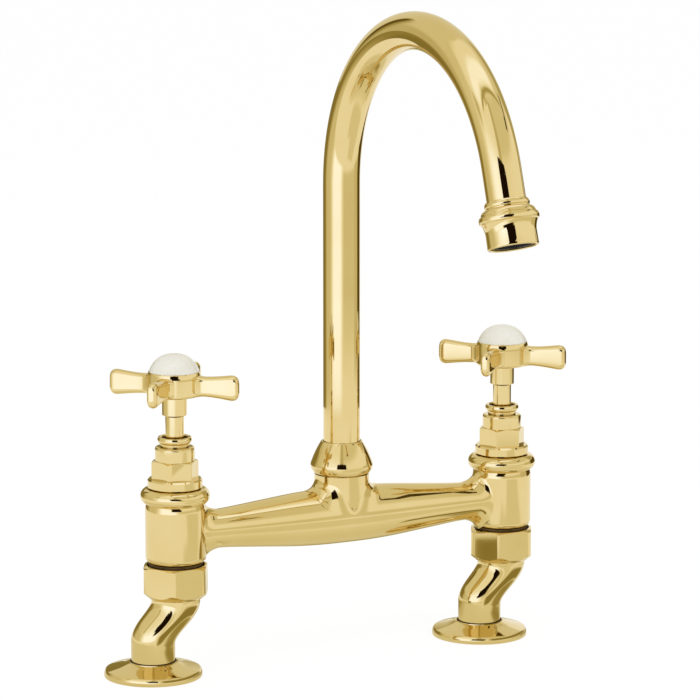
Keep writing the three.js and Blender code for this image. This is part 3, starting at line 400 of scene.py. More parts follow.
def darker(colour_now, part):
    return [channel * part for channel in colour_now]


class Nodes:
    """A short way to lay out a material's nodes."""

    made = {}

    def __init__(self, name):
        self.new = name not in self.made
        if self.new:
            self.made[name] = bpy.data.materials.new(name)
            self.made[name].use_nodes = True
            self.tree = self.made[name].node_tree
            self.shader = self.tree.nodes["Principled BSDF"]
            self.place = self.add("ShaderNodeTexCoord").outputs["Object"]
        self.material = self.made[name]

    def add(self, kind, **settings):
        node = self.tree.nodes.new(kind)
        for key, value in settings.items():
            setattr(node, key, value)
        return node

    def link(self, output, socket):
        self.tree.links.new(output, socket)

    def noise(self, scale, detail):
        node = self.add("ShaderNodeTexNoise")
        node.inputs["Scale"].default_value = scale
        node.inputs["Detail"].default_value = detail
        self.link(self.place, node.inputs["Vector"])
        return node.outputs["Fac"]

    def ramp(self, noise, low_end, high_end):
        """Stretches a noise over a range of values."""
        node = self.add("ShaderNodeMapRange", clamp=True)
        self.link(noise, node.inputs["Value"])
        span = {"From Min": NOISE_LOW, "From Max": NOISE_HIGH, "To Min": low_end, "To Max": high_end}
        for key, number in span.items():
            node.inputs[key].default_value = number
        return node.outputs["Result"]

    def mix(self, factor, first, second):
        """Mixes two colours. A colour mix has them at sockets 6 and 7, and its result at 2."""
        node = self.add("ShaderNodeMix", data_type="RGBA")
        self.link(factor, node.inputs["Factor"])
        node.inputs[6].default_value = (*first, 1)
        node.inputs[7].default_value = (*second, 1)
        return node.outputs[2]

    def bump(self, height, distance):
        node = self.add("ShaderNodeBump")
        node.inputs["Distance"].default_value = distance
        node.inputs["Strength"].default_value = 1
        self.link(height, node.inputs["Height"])
        return node.outputs["Normal"]


# Depth of the waves that a finish leaves in a metal surface, in metres
POLISHED, MACHINED = 0.000006, 0.0001


def metal(name, bright, deep, roughness, waviness):
    """Polished or machined metal: uneven lacquer, fine polishing haze and slightly wavy reflections."""
    nodes = Nodes(name)
    if not nodes.new:
        return nodes.material
    shader = nodes.shader
    shader.inputs["Metallic"].default_value = 1
    patches = nodes.ramp(nodes.noise(38, 3), 0, 1)
    nodes.link(nodes.mix(patches, bright, deep), shader.inputs["Base Color"])
    haze = nodes.ramp(nodes.noise(160, 4), roughness * 0.7, roughness * 1.5)
    nodes.link(haze, shader.inputs["Roughness"])
    nodes.link(nodes.bump(nodes.noise(45, 1), waviness), shader.inputs["Normal"])
    return nodes.material


def polished_brass():
    look = finishes()
    return metal("lacquered_brass", look.brass, look.brass_deep, look.gloss, POLISHED)


def plain_brass():
    look = finishes()
    return metal("machined_brass", look.plain_brass, darker(look.plain_brass, 0.85), 0.3, MACHINED)


def bright_steel():
    look = finishes()
    return metal("bright_steel", look.steel, darker(look.steel, 0.9), 0.25, MACHINED)


def plain(name, colour_now, roughness, coat=0.0, spread=0.94, grain=900, grain_depth=0.00001):
    """Enamel, ceramic, rubber or plastic, with a fine grain.

    spread is the darkest part of its uneven colour, and grain is how many bumps there are to a metre.
    """
    nodes = Nodes(name)
    if not nodes.new:
        return nodes.material
    shader = nodes.shader
    shader.inputs["Coat Weight"].default_value = coat
    shader.inputs["Coat Roughness"].default_value = 0.04
    patches = nodes.ramp(nodes.noise(90, 3), 0, 1)
    nodes.link(nodes.mix(patches, colour_now, darker(colour_now, spread)), shader.inputs["Base Color"])
    nodes.link(nodes.ramp(nodes.noise(300, 2), roughness * 0.85, roughness * 1.2), shader.inputs["Roughness"])
    nodes.link(nodes.bump(nodes.noise(grain, 2), grain_depth), shader.inputs["Normal"])
    return nodes.material


def enamel():
    return plain(
        "index_enamel", finishes().enamel, 0.22, coat=0.2, spread=0.985, grain=60, grain_depth=0.000002
    )


# Painted shade: dark brass that stands in for the shade in threads, cups and gaps.
def recess_shade_brass():
    look = finishes()
    return metal("recess_shade_brass", look.shaded_recess, darker(look.shaded_recess, 0.6), 0.5, MACHINED)


# Painted shade: the aerator's steel mesh darkened to stand in for the shade inside the nozzle.
def shaded_mesh_wire():
    look = finishes()
    return metal("shaded_mesh_wire", look.wire, darker(look.wire, 0.8), 0.35, MACHINED)


def ceramic():
    return plain("valve_ceramic", finishes().ceramic, 0.25)


def rubber():
    return plain("seal_rubber", finishes().rubber, 0.6, spread=0.7)


def nylon():
    return plain("moulded_nylon", finishes().nylon, 0.45)


def black_plastic():
    return plain("moulded_black", finishes().black_plastic, 0.4, spread=0.8)


MATERIAL_OF_SLOT = {
    "polished_brass": polished_brass,
    "plain_brass": plain_brass,
    "white_enamel": enamel,
    "ceramic": ceramic,
    "rubber": rubber,
    "nylon": nylon,
    "black_plastic": black_plastic,
    "steel": bright_steel,
}


# ---- The bridge casting ----------------------------------------------------------------------------------


def toward_arm(ball, part):
    """Draws a point towards the arm's axis, which lies along X."""
    return Vector((ball.x, ball.y * part, ball.z * part))


def toward_upright(ball, part):
    """Draws a point towards the upright's axis, which lies along Z."""
    return Vector((ball.x * part, ball.y * part, ball.z))


def rolling_ball_corner(name, balls, arm_radius, upright_radius, steps=12, stretch=1.0, under_neck=False):
    """The skin of a fillet between an arm along X and an upright along Z, closed by a buried heel.

    balls gives each place of the rolling ball and its radius. stretch draws the skin out along the arm.
    """
    sink = sizes().fillet_radius / 2
    points, faces = [], []
    for ball, ball_radius in balls:
        arm_reach, upright_reach = arm_radius + ball_radius, upright_radius + ball_radius
        first = toward_arm(ball, arm_radius / arm_reach) - ball
        last = toward_upright(ball, upright_radius / upright_reach) - ball
        angle = first.angle(last)
        for i in range(steps + 1):
            t = i / steps
            weights = math.sin((1 - t) * angle), math.sin(t * angle)
            points.append(ball + (first * weights[0] + last * weights[1]) / math.sin(angle))
        for k in range(len(points) - steps - 1, len(points)):
            x, y, _ = points[k]
            side = math.sqrt(max(0, upright_radius ** 2 - y * y))
            if stretch > 1 and x > side:
                points[k].x = side + (x - side) * stretch
        deep_upright = toward_upright(ball, (upright_radius - sink) / upright_reach)
        deep_arm = toward_arm(ball, (arm_radius - sink) / arm_reach)
        deep_arm.x *= stretch
        heel = Vector((deep_upright.x, deep_upright.y if under_neck else deep_arm.y, deep_arm.z))
        points += [deep_upright, heel, deep_arm]
    ring = len(points) // len(balls)
    for i in range(len(balls)):
        here, after = i * ring, (i + 1) % len(balls) * ring
        for k in range(ring):
            next_k = (k + 1) % ring
            faces.append((here + k, after + k, after + next_k, here + next_k))
    mesh = bpy.data.meshes.new(name)
    mesh.from_pydata(points, [], faces)
    piece = bpy.data.objects.new(name, mesh)
    bpy.context.collection.objects.link(piece)
    edit(piece)
    tidy_mesh()
    leave_edit()
    return piece


def corner_balls(wide, narrow, to_xyz, flat_radius=0.0):
    """Places and radii of the rolling ball all round the narrower of two crossing cylinders.

    to_xyz orders a place's numbers: across both cylinders, along the wide one and along the narrow one.
    flat_radius is added to the ball where the cylinders are nearly flush, which fades the corner out there.
    """
    balls = []
    for i in range(FINE_SIDES):
        angle = 2 * math.pi * i / FINE_SIDES
        radius = sizes().fillet_radius + flat_radius * math.cos(angle) ** 4
        a, b = (narrow + radius) * math.cos(angle), (narrow + radius) * math.sin(angle)
        balls.append((Vector(to_xyz(a, b, math.sqrt((wide + radius) ** 2 - a ** 2))), radius))
    return balls


def rounded_kink(before, kink, after, reach, steps=6):
    """A corner of a profile eased into a curve that reaches a length to each side."""
    a, k, b = Vector(before), Vector(kink), Vector(after)
    start, end = k + (a - k).normalized() * reach, k + (b - k).normalized() * reach
    return [tuple(start.lerp(k, t / steps).lerp(k.lerp(end, t / steps), t / steps)) for t in range(steps + 1)]


class TAP_OT_bridge(bpy.types.Operator):
    """Models the bridge casting with its barrels, arms, neck and waterways"""

    bl_idname = "tap.bridge"
    bl_label = "Bridge casting"

    def execute(self, context):
        casting = self.make_arms()
        self.add_neck(casting)
        self.add_barrels(casting)
        self.bore(casting)
        edit(casting)
        bpy.ops.mesh.remove_doubles(threshold=0.03 * MM)
        bpy.ops.mesh.dissolve_degenerate(threshold=0.02 * MM)
        leave_edit()
        even_shading(casting, 32)
        finish_piece(casting, BODY, "polished_brass", polished_brass(), "bridge_body")
        # Painted shade on the threaded tail, in the gap above the union nut.
        paint_recess_shade(casting, lambda at: at.z < TAIL_TOP)
        return {"FINISHED"}

    def make_arms(self):
        """The bar from one valve's axis to the other's, thickest below the spout."""
        s = sizes()
        half = VALVE_X["right"]
        straight_middle, straight_end = 18.6 * MM, half - 23.5 * MM
        mid, end = s.arm_middle_radius, s.arm_end_radius
        side = [(end, half), *rounded_kink((end, half), (end, straight_end), (mid, straight_middle), 8 * MM)]
        side += rounded_kink((end, straight_end), (mid, straight_middle), (mid, 0), 14 * MM)
        profile = [(0, half), *side, *[(radius, -x) for radius, x in reversed(side)], (0, -half)]
        arms = turned("bridge_casting", profile, sides=FINE_SIDES)
        return place(arms, (0, 0, BRIDGE_AXIS), math.pi / 2, "Y")

    def add_neck(self, casting):
        """The neck, the spigot that the spout turns on, and the fillet round the neck's foot."""
        s = sizes()
        mid, spigot = s.arm_middle_radius, 12.1 * MM
        neck_top = COLLAR_BOTTOM + COLLAR_LIFT - 0.3 * MM
        neck = [(0, BRIDGE_AXIS), (s.neck_radius, BRIDGE_AXIS), (s.neck_radius, neck_top), (spigot, neck_top)]
        neck += [(spigot, SPIGOT_TOP), (0, SPIGOT_TOP)]
        combine(casting, turned("neck", neck, sides=FINE_SIDES))
        balls = corner_balls(mid, s.neck_radius, lambda a, b, c: (b, a, c), flat_radius=20 * MM)
        corner = rolling_ball_corner("neck_corner", balls, mid, s.neck_radius, under_neck=True)
        combine(casting, place(corner, (0, 0, BRIDGE_AXIS)))

    def barrel_profile(self):
        """Up a barrel's outside: threaded tail, rounded edge, wall, cove and bead."""
        s = sizes()
        wall, thread, cove = s.barrel_radius, 13.1 * MM, s.barrel_radius - 0.5 * MM
        profile = [(0, BARREL_BOTTOM), (thread, BARREL_BOTTOM)]
        profile += arc_through(
            (thread, TAIL_TOP), (wall - 0.45 * MM, TAIL_TOP + 1.3 * MM), (wall, TAIL_TOP + 3.2 * MM)
        )
        profile += arc_through(
            (wall, BEAD_BOTTOM - 3.4 * MM), (wall - 0.13 * MM, BEAD_BOTTOM - 1.7 * MM),
            (cove, BEAD_BOTTOM - 0.1 * MM), 6,
        )
        profile += arc_through(
            (cove + 0.1 * MM, BEAD_BOTTOM), (s.bead_radius, BEAD_BOTTOM + 4 * MM), (14 * MM, BEAD_TOP), 20
        )
        return [*profile, (0, BEAD_TOP)]

    def add_barrels(self, casting):
        """Both barrels, and the fillets that run out along the arms."""
        s = sizes()
        barrel = self.barrel_profile()
        balls = corner_balls(s.barrel_radius, s.arm_end_radius, lambda a, b, c: (c, a, b))
        for hand in HANDS:
            x = VALVE_X[hand]
            combine(casting, turned("barrel", barrel, (x, 0), FINE_SIDES))
            corner = rolling_ball_corner("side_corner", balls, s.arm_end_radius, s.barrel_radius, stretch=1.9)
            combine(casting, place(corner, (x, 0, BRIDGE_AXIS), math.pi if hand == "right" else 0))

    def bore(self, casting):
        """The waterway along the bridge, the spout's socket, and each barrel's inlet, throat and chamber."""
        half = VALVE_X["right"]
        seat = BARREL_BOTTOM + 14.4 * MM
        waterway = place(cylinder(5.5 * MM, -half, half), (0, 0, BRIDGE_AXIS), math.pi / 2, "Y")
        combine(casting, waterway, "DIFFERENCE")
        drill(casting, 9 * MM, SPIGOT_TOP - 20.3 * MM, SPIGOT_TOP + MM)
        for hand in HANDS:
            at = (VALVE_X[hand], 0)
            drill(casting, 8.6 * MM, BARREL_BOTTOM - MM, seat - 2.5 * MM, at)
            drill(casting, 5.2 * MM, seat - 4 * MM, seat + MM, at)
            drill(casting, 10.5 * MM, seat, BEAD_TOP + MM, at)


# ---- Flanges, legs and unions ----------------------------------------------------------------------------


class TAP_OT_flanges(bpy.types.Operator):
    """Models the domed deck flange of each leg"""

    bl_idname = "tap.flanges"
    bl_label = "Deck flanges"

    def execute(self, context):
        s = sizes()
        hole = s.pipe_radius / MM + 0.25
        rim = s.flange_radius / MM
        gasket_radius, gasket_depth = 19.9, 1.5
        edge = arc((rim - 0.6, 0.6), 0.6, -90, -12, 5) + arc((rim - 4, 1.25), 4, -8, 36, 12)
        crown = curve_through([(rim - 1.15, 3.75), (19.5, 4.6), (15.2, 5.75), (12.6, 6.75), (11.7, 7.05)], 5)
        lip = [(11.62, 6.8), (11.45, 6.8), (11.4, 7.45), (11.15, 7.7), (hole, 7.7)]
        under = [(hole, gasket_depth), (gasket_radius, gasket_depth)]
        profile = [(gasket_radius, 0), *edge, *crown, *lip, *under]
        for hand in HANDS:
            x = FOOT_X[hand]
            flange = turned(f"deck_flange_{hand}", millimetres(profile), (x, 0), FINE_SIDES)
            soften(flange, 0.15 * MM, 2)
            finish_piece(even_shading(flange), BODY, "polished_brass", polished_brass(), f"flange_{hand}")
            # Painted shade on the lip round the pipe.
            paint_recess_shade(flange, inside_bore(x, 11.5 * MM, above=7.2 * MM))
        return {"FINISHED"}


class TAP_OT_legs(bpy.types.Operator):
    """Models the cranked legs, ring by ring up the crank"""

    bl_idname = "tap.legs"
    bl_label = "Cranked legs"

    def execute(self, context):
        rings = self.rings_up_the_leg()
        for hand in HANDS:
            x = VALVE_X[hand]
            bpy.ops.object.select_all(action="DESELECT")
            z, at, radius, _ = rings[0]
            bpy.ops.mesh.primitive_circle_add(vertices=96, radius=radius, location=(x + at, 0, z))
            leg = name_piece(bpy.context.object, f"cranked_leg_{hand}")
            bpy.ops.object.transform_apply(location=True, rotation=True, scale=True)
            edit(leg)
            for (z0, x0, r0, w0), (z1, x1, r1, w1) in zip(rings, rings[1:]):
                bpy.ops.mesh.extrude_edges_move(TRANSFORM_OT_translate={"value": (x1 - x0, 0, z1 - z0)})
                bpy.ops.transform.resize(
                    value=(r1 * w1 / (r0 * w0), r1 / r0, 1), center_override=(x + x1, 0, z1)
                )
            tidy_mesh()
            leave_edit()
            finish_piece(smooth(leg), BODY, "polished_brass", polished_brass(), f"leg_{hand}")
        return {"FINISHED"}

    def rings_up_the_leg(self):
        """Level, X, radius and stretch along X of each ring: up the outside and down the waterway."""
        pipe = sizes().pipe_radius
        offset = VALVE_X["left"] - FOOT_X["left"]
        foot, crank = 16 * MM, 20.5 * MM
        neck, collar, bore = 11.8 * MM, 13.1 * MM, pipe - 3.1 * MM
        collar_bottom = NUT_BOTTOM + 4.3 * MM
        steps = 22
        rings = [(0, -offset, pipe, 1)]
        for i in range(steps + 1):
            t = i / steps
            lean = 1 - t * t * (3 - 2 * t)
            slope = 6 * t * (1 - t) * offset / crank
            stretch = math.sqrt(1 + 0.4 * slope * slope)
            rings.append((foot + crank * t, -offset * lean, pipe + (neck - pipe) * t, stretch))
        waterway = [(z, x, bore, 1) for z, x, _, _ in reversed(rings[1:])]
        rings += [(foot + crank + 0.9 * MM, 0, neck, 1), (collar_bottom, 0, neck, 1)]
        rings += [(collar_bottom, 0, collar, 1), (LEG_TOP, 0, collar, 1), (LEG_TOP, 0, bore, 1)]
        return [*rings, *waterway, (0, -offset, bore, 1), (0, -offset, pipe, 1)]


class TAP_OT_union_nuts(bpy.types.Operator):
    """Models the hexagonal union nut below each barrel"""

    bl_idname = "tap.union_nuts"
    bl_label = "Union nuts"

    def execute(self, context):
        across_flats = 30 * MM
        top = (NUT_TOP - NUT_BOTTOM) / MM
        foot = [(0, 0), (13.2, 0), (13.55, 0.5), *arc_through((13.7, 0.6), (15.75, 2.3), (17.6, 5.4), 10)]
        crown = [*arc_through((17.6, top - 2.6), (16.1, top - 0.75), (14.5, top), 8), (0, top)]
        pipe_hole, thread, mouth = 12.1, 13.4, 14
        hollow = [(0, -1), (pipe_hole, -1), (pipe_hole, 4), (thread, 4), (thread, top - 2.4)]
        hollow += [(mouth, top - 1.8), (mouth, top + 0.1), (0, top + 0.1)]
        for hand in HANDS:
            at = (VALVE_X[hand], 0)
            nut = hexagon(f"hexagon_nut_{hand}", across_flats, NUT_BOTTOM, NUT_TOP, at, 2.4 * MM, 0)
            limit = turned("limit", millimetres(foot + crown, NUT_BOTTOM), at, FINE_SIDES)
            combine(nut, limit, "INTERSECT")
            combine(nut, turned("hollow", millimetres(hollow, NUT_BOTTOM), at, FINE_SIDES), "DIFFERENCE")
            soften(nut, 0.4 * MM, 4, 24)
            finish_piece(even_shading(nut), BODY, "polished_brass", polished_brass(), f"union_nut_{hand}")
            # Painted shade in the nut's thread and mouth.
            paint_recess_shade(nut, inside_bore(at[0], 13.9 * MM, above=NUT_BOTTOM + MM))
        return {"FINISHED"}


# ---- Headwork, gland and spindle -------------------------------------------------------------------------


class TAP_OT_headworks(bpy.types.Operator):
    """Models each valve's headwork: skirt, bezel, hexagon and shoulder"""

    bl_idname = "tap.headworks"
    bl_label = "Headworks"

    def execute(self, context):
        hexagon_bottom, hexagon_top = BEZEL_BOTTOM + 4.5 * MM, BEZEL_BOTTOM + 13.3 * MM
        thread_bottom = BEZEL_BOTTOM - 11 * MM
        skirt, thread, bezel, shoulder = 8.7 * MM, 10.2 * MM, 13.25 * MM, 9.6 * MM
        body = [(0, SKIRT_BOTTOM), (skirt, SKIRT_BOTTOM), (skirt, thread_bottom - MM)]
        body += [(thread, thread_bottom), (thread, BEZEL_BOTTOM), (12.9 * MM, BEZEL_BOTTOM)]
        body += [(bezel, BEZEL_BOTTOM + 0.4 * MM), (bezel, hexagon_bottom - 0.8 * MM)]
        body += [(12.5 * MM, hexagon_bottom), (0, hexagon_bottom)]
        chamfer = [(0, hexagon_bottom - 2 * MM), (11.7 * MM, hexagon_bottom - 2 * MM)]
        chamfer += [(11.7 * MM, hexagon_top - 0.9 * MM), (10 * MM, hexagon_top), (0, hexagon_top)]
        top = [(0, hexagon_top - MM), (shoulder, hexagon_top - MM), (shoulder, SHOULDER_TOP - 1.2 * MM)]
        top += arc((8.4 * MM, SHOULDER_TOP - 1.2 * MM), 1.2 * MM, 8, 90, 6) + [(0, SHOULDER_TOP)]
        for hand in HANDS:
            at = (VALVE_X[hand], 0)
            headwork = turned(f"headwork_body_{hand}", body, at)
            flats = hexagon(
                "hexagon", 20.2 * MM, hexagon_bottom - MM, hexagon_top, at, 0.35 * MM, math.radians(48)
            )
            combine(flats, turned("chamfer", chamfer, at), "INTERSECT")
            combine(headwork, flats)
            combine(headwork, turned("shoulder", top, at))
            drill(headwork, 7.5 * MM, SKIRT_BOTTOM - MM, SKIRT_BOTTOM + 9.9 * MM, at)
            drill(headwork, 5.5 * MM, SKIRT_BOTTOM, SHOULDER_TOP + MM, at)
            drill(headwork, 6.9 * MM, GLAND_BOTTOM - 3.5 * MM, SHOULDER_TOP + MM, at)
            soften(headwork, 0.22 * MM)
            finish_piece(even_shading(headwork), BODY, "polished_brass", polished_brass(), f"headwork_{hand}")
        return {"FINISHED"}


class TAP_OT_gland_rings(bpy.types.Operator):
    """Models the cupped gland nut round each spindle"""

    bl_idname = "tap.gland_rings"
    bl_label = "Gland nuts"

    def execute(self, context):
        top = (GLAND_TOP - GLAND_BOTTOM) / MM
        rim_foot = top - 4.5
        bore, thread = 4.75, 6.6
        rim = arc_through((7.05, rim_foot + 1.3), (8.3, top - 1.9), (8.15, top - 0.75), 8)
        rim += arc((7.45, top - 0.7), 0.7, 20, 90, 5)
        cup = [(6.9, top), (6.4, top - 0.4), (5.9, top - 2), (bore, top - 2)]
        profile = [(bore, 0), (thread, 0), (thread, rim_foot), (6.95, rim_foot), *rim, *cup]
        for hand in HANDS:
            x = VALVE_X[hand]
            gland = turned(f"gland_nut_{hand}", millimetres(profile, GLAND_BOTTOM), (x, 0))
            soften(gland, 0.15 * MM, 2)
            finish_piece(even_shading(gland), BODY, "polished_brass", polished_brass(), f"gland_ring_{hand}")
            # Painted shade in the gland's cup.
            paint_recess_shade(gland, inside_bore(x, 6.45 * MM))
        return {"FINISHED"}


class TAP_OT_spindles(bpy.types.Operator):
    """Models each spindle with its foot, groove, collar, stem and plain round top"""

    bl_idname = "tap.spindles"
    bl_label = "Spindles"

    def execute(self, context):
        collar_top = GLAND_BOTTOM - 0.3 * MM
        collar_bottom = collar_top - 2.9 * MM
        stem_top = HANDLE_BOTTOM - 0.3 * MM
        groove = collar_top - 7.9 * MM
        groove_top = groove + 1.7 * MM
        foot = SPINDLE_BOTTOM + 1.1 * MM
        foot_top = foot + 3 * MM
        foot_radius, shaft, groove_radius, collar, stem = 7.2 * MM, 5.2 * MM, 3.8 * MM, 6.3 * MM, 4.5 * MM
        tongue_size = (12.4 * MM, 3 * MM, 2.2 * MM)
        profile = [(0, foot), (foot_radius, foot), (foot_radius, foot_top), (shaft, foot_top)]
        profile += [(shaft, groove), (groove_radius, groove), (groove_radius, groove_top), (shaft, groove_top)]
        profile += [(shaft, collar_bottom), (collar, collar_bottom), (collar, collar_top), (stem, collar_top)]
        profile += [(stem, stem_top - 0.2 * MM), (4.3 * MM, stem_top), (0, stem_top)]
        for hand in HANDS:
            at = (VALVE_X[hand], 0)
            spindle = turned(f"splined_spindle_{hand}", profile, at)
            combine(spindle, cylinder(4.2 * MM, stem_top - MM, SPINDLE_TOP, at, 40))
            bpy.ops.object.select_all(action="DESELECT")
            bpy.ops.mesh.primitive_cube_add(size=1, location=(*at, foot))
            tongue = bpy.context.object
            tongue.scale = tongue_size
            bpy.ops.object.transform_apply(location=True, rotation=True, scale=True)
            combine(spindle, tongue)
            drill(spindle, 2.3 * MM, SPINDLE_TOP - 9.4 * MM, SPINDLE_TOP + MM, at, 24)
            soften(spindle, 0.1 * MM, 2)
            even_shading(spindle)
            finish_piece(spindle, f"{hand}_handle", "polished_brass", polished_brass(), f"spindle_{hand}")
        return {"FINISHED"}


# ---- Cross handles and indices ---------------------------------------------------------------------------


def paddle_arm(name, level):
    """One flat arm along +X that widens to a rounded tip: a rounded ring extruded and scaled by stations."""
    # distance from the handle's axis, half width across, half height, in millimetres
    stations = [
        (9.5, 4.8, 5.6), (12.4, 4.5, 5.3), (13.2, 3.7, 5.05), (14.2, 3.05, 4.9), (15.6, 2.6, 4.85),
        (19, 2.45, 5.0), (23, 2.45, 5.4), (26.5, 2.47, 5.85), (29, 2.5, 6.15), (30.2, 2.45, 6.05),
        (31.1, 2.35, 5.7), (31.8, 2.1, 5.1), (32.25, 1.8, 4.4), (32.5, 1.3, 3.5), (32.6, 0.7, 2.4),
    ]
    blade_wide, blade_tall, blade_round = 2.45, 5.0, 2.3
    first = stations[0]
    bpy.ops.object.select_all(action="DESELECT")
    bpy.ops.mesh.primitive_plane_add(size=2, location=(0, 0, 0))
    arm = name_piece(bpy.context.object, name)
    arm.scale = (blade_tall * MM, blade_wide * MM, 1)
    arm.rotation_euler = (0, math.pi / 2, 0)
    arm.location = (first[0] * MM, 0, level)
    bpy.ops.object.transform_apply(location=True, rotation=True, scale=True)
    edit(arm)
    bpy.ops.mesh.bevel(offset=blade_round * MM, segments=8, affect="VERTICES", profile=0.5)
    bpy.ops.mesh.select_all(action="SELECT")
    bpy.ops.mesh.delete(type="ONLY_FACE")
    bpy.ops.mesh.select_all(action="SELECT")
    bpy.ops.transform.resize(
        value=(1, first[1] / blade_wide, first[2] / blade_tall), center_override=(first[0] * MM, 0, level)
    )
    for (x0, w0, h0), (x1, w1, h1) in zip(stations, stations[1:]):
        bpy.ops.mesh.extrude_edges_move(TRANSFORM_OT_translate={"value": ((x1 - x0) * MM, 0, 0)})
        bpy.ops.transform.resize(value=(1, w1 / w0, h1 / h0), center_override=(x1 * MM, 0, level))
    bpy.ops.mesh.edge_face_add()
    leave_edit()
    for vertex in arm.data.vertices:
        vertex.select = vertex.co.x < first[0] * MM + 1e-6
    edit_marked(arm)
    bpy.ops.mesh.edge_face_add()
    tidy_mesh()
    leave_edit()
    return arm


class TAP_OT_handles(bpy.types.Operator):
    """Models the cross handles: hub, boss and four paddle arms"""

    bl_idname = "tap.handles"
    bl_label = "Cross handles"

    def execute(self, context):
        s = sizes()
        hub = HANDLE_BOTTOM + 9.6 * MM
        arm_level = hub + 5.1 * MM
        seat = HANDLE_TOP - 3 * MM
        r = s.hub_radius
        boss = 5.95 * MM
        under = arc((boss + 0.8 * MM, hub - 0.8 * MM), 0.8 * MM, 180, 90, 4)
        edge = arc((r - 1.3 * MM, hub + 1.3 * MM), 1.3 * MM, -82, 0, 6)
        rim = arc_through(
            (r, HANDLE_TOP - 3.3 * MM), (r - 0.11 * MM, HANDLE_TOP - 1.95 * MM),
            (r - 0.45 * MM, HANDLE_TOP - 0.6 * MM), 8,
        )
        rim += [(r - 0.55 * MM, HANDLE_TOP - 0.25 * MM), (r - 0.68 * MM, HANDLE_TOP)]
        socket = s.index_radius + 0.15 * MM
        profile = [(0, HANDLE_BOTTOM), (boss - 0.3 * MM, HANDLE_BOTTOM), (boss, HANDLE_BOTTOM + 0.3 * MM)]
        profile += [*under, *edge, *rim, (socket, HANDLE_TOP), (socket, seat), (0, seat)]
        for hand in HANDS:
            handle = turned(f"cross_handle_{hand}", profile, (0, 0), FINE_SIDES)
            for i in range(4):
                arm = place(paddle_arm("arm", arm_level), (0, 0, 0), math.radians(45 + 90 * i))
                combine(handle, arm)
            drill(handle, 4.5 * MM, HANDLE_BOTTOM - MM, SPINDLE_TOP + 0.3 * MM, sides=40)
            drill(handle, 4.2 * MM, SPINDLE_TOP + 2.7 * MM, seat + MM)
            drill(handle, 2.3 * MM, SPINDLE_TOP, seat)
            even_shading(place(handle, (VALVE_X[hand], 0, 0)), 40)
            finish_piece(handle, f"{hand}_handle", "polished_brass", polished_brass(), f"handle_{hand}")
        return {"FINISHED"}


class TAP_OT_indices(bpy.types.Operator):
    """Models the white domed index in the top of each handle"""

    bl_idname = "tap.indices"
    bl_label = "Domed indices"

    def execute(self, context):
        r = sizes().index_radius / MM
        rise = (INDEX_TOP - HANDLE_TOP) / MM
        base = (INDEX_TOP - INDEX_BOTTOM) / MM - rise
        seat = base - 2.7
        dome = arc_through((r, base), (r * 0.74, base + rise * 0.63), (0.0001, base + rise), 26)
        stud = 3.9
        profile = [(0, 0), (stud, 0), (stud, seat), (r - 0.3, seat), (r, seat + 0.3)]
        profile += [*dome[:-1], (0, base + rise)]
        for hand in HANDS:
            index = turned(f"domed_index_{hand}", millimetres(profile, INDEX_BOTTOM), (VALVE_X[hand], 0))
            finish_piece(smooth(index, 40), f"{hand}_handle", "white_enamel", enamel(), f"index_{hand}")
        return {"FINISHED"}


# ---- Spout -----------------------------------------------------------------------------------------------

BEND_ANGLE = math.radians(161.7)
BEND_START = 233.4 * MM
TUBE_TAIL = 23.2 * MM         # of straight tube past the bend
NOZZLE_OVERLAP = 8.5 * MM     # of that tube inside the nozzle
STREAM = Vector((0, -math.sin(BEND_ANGLE), math.cos(BEND_ANGLE)))


def bend_end():
    radius = sizes().bend_radius
    return Vector((0, -radius * (1 - math.cos(BEND_ANGLE)), BEND_START + radius * math.sin(BEND_ANGLE)))


class TAP_OT_spout_tube(bpy.types.Operator):
    """Models the swan-neck tube: a ring extruded up, spun round the bend and extruded down the stream"""

    bl_idname = "tap.spout_tube"
    bl_label = "Spout tube"

    def execute(self, context):
        s = sizes()
        bpy.ops.object.select_all(action="DESELECT")
        bpy.ops.mesh.primitive_circle_add(vertices=96, radius=s.tube_radius, location=(0, 0, TUBE_BOTTOM))
        tube = name_piece(bpy.context.object, "swan_neck_tube")
        bpy.ops.object.transform_apply(location=True, rotation=True, scale=True)
        edit(tube)
        lengths = 4
        for _ in range(lengths):
            bpy.ops.mesh.extrude_edges_move(
                TRANSFORM_OT_translate={"value": (0, 0, (BEND_START - TUBE_BOTTOM) / lengths)}
            )
        centre = (0, -s.bend_radius, BEND_START)
        bpy.ops.mesh.spin(steps=72, angle=BEND_ANGLE, center=centre, axis=(-1, 0, 0))
        bpy.ops.mesh.extrude_edges_move(TRANSFORM_OT_translate={"value": STREAM * TUBE_TAIL})
        tidy_mesh()
        leave_edit()
        modify(tube, "SOLIDIFY", thickness=1.2 * MM, offset=-1)
        finish_piece(smooth(tube, 40), SPOUT, "polished_brass", polished_brass(), "spout_tube")
        return {"FINISHED"}


class TAP_OT_spout_collar(bpy.types.Operator):
    """Models the domed collar that holds the spout on the neck"""

    bl_idname = "tap.spout_collar"
    bl_label = "Spout collar"

    def execute(self, context):
        top = (COLLAR_TOP - COLLAR_BOTTOM) / MM
        foot = COLLAR_LIFT / MM
        widest, radius = foot + 4.4, 15.35
        under = arc_through((13.55, foot + 0.15), (14.85, foot + 1.9), (radius, widest), 10)
        dome = arc_through((radius, widest), (radius - 2.35, widest + 5.9), (10.1, top - 0.25), 16)
        spigot_hole, tube_hole, step = 12.4, 9.25, top - 6.5
        profile = [(spigot_hole, foot), (13.3, foot), *under, *dome[1:], (9.9, top)]
        profile += [(tube_hole, top), (tube_hole, step), (spigot_hole, step)]
        collar = turned("domed_collar", millimetres(profile, COLLAR_BOTTOM), sides=FINE_SIDES)
        soften(collar, 0.12 * MM, 2)
        finish_piece(even_shading(collar), BODY, "polished_brass", polished_brass(), "spout_collar")
        return {"FINISHED"}


def down_stream(piece):
    """Moves a piece drawn along +Z from the nozzle's rear edge onto the end of the tube."""
    return place(piece, bend_end() + STREAM * (TUBE_TAIL - NOZZLE_OVERLAP), BEND_ANGLE, "X")


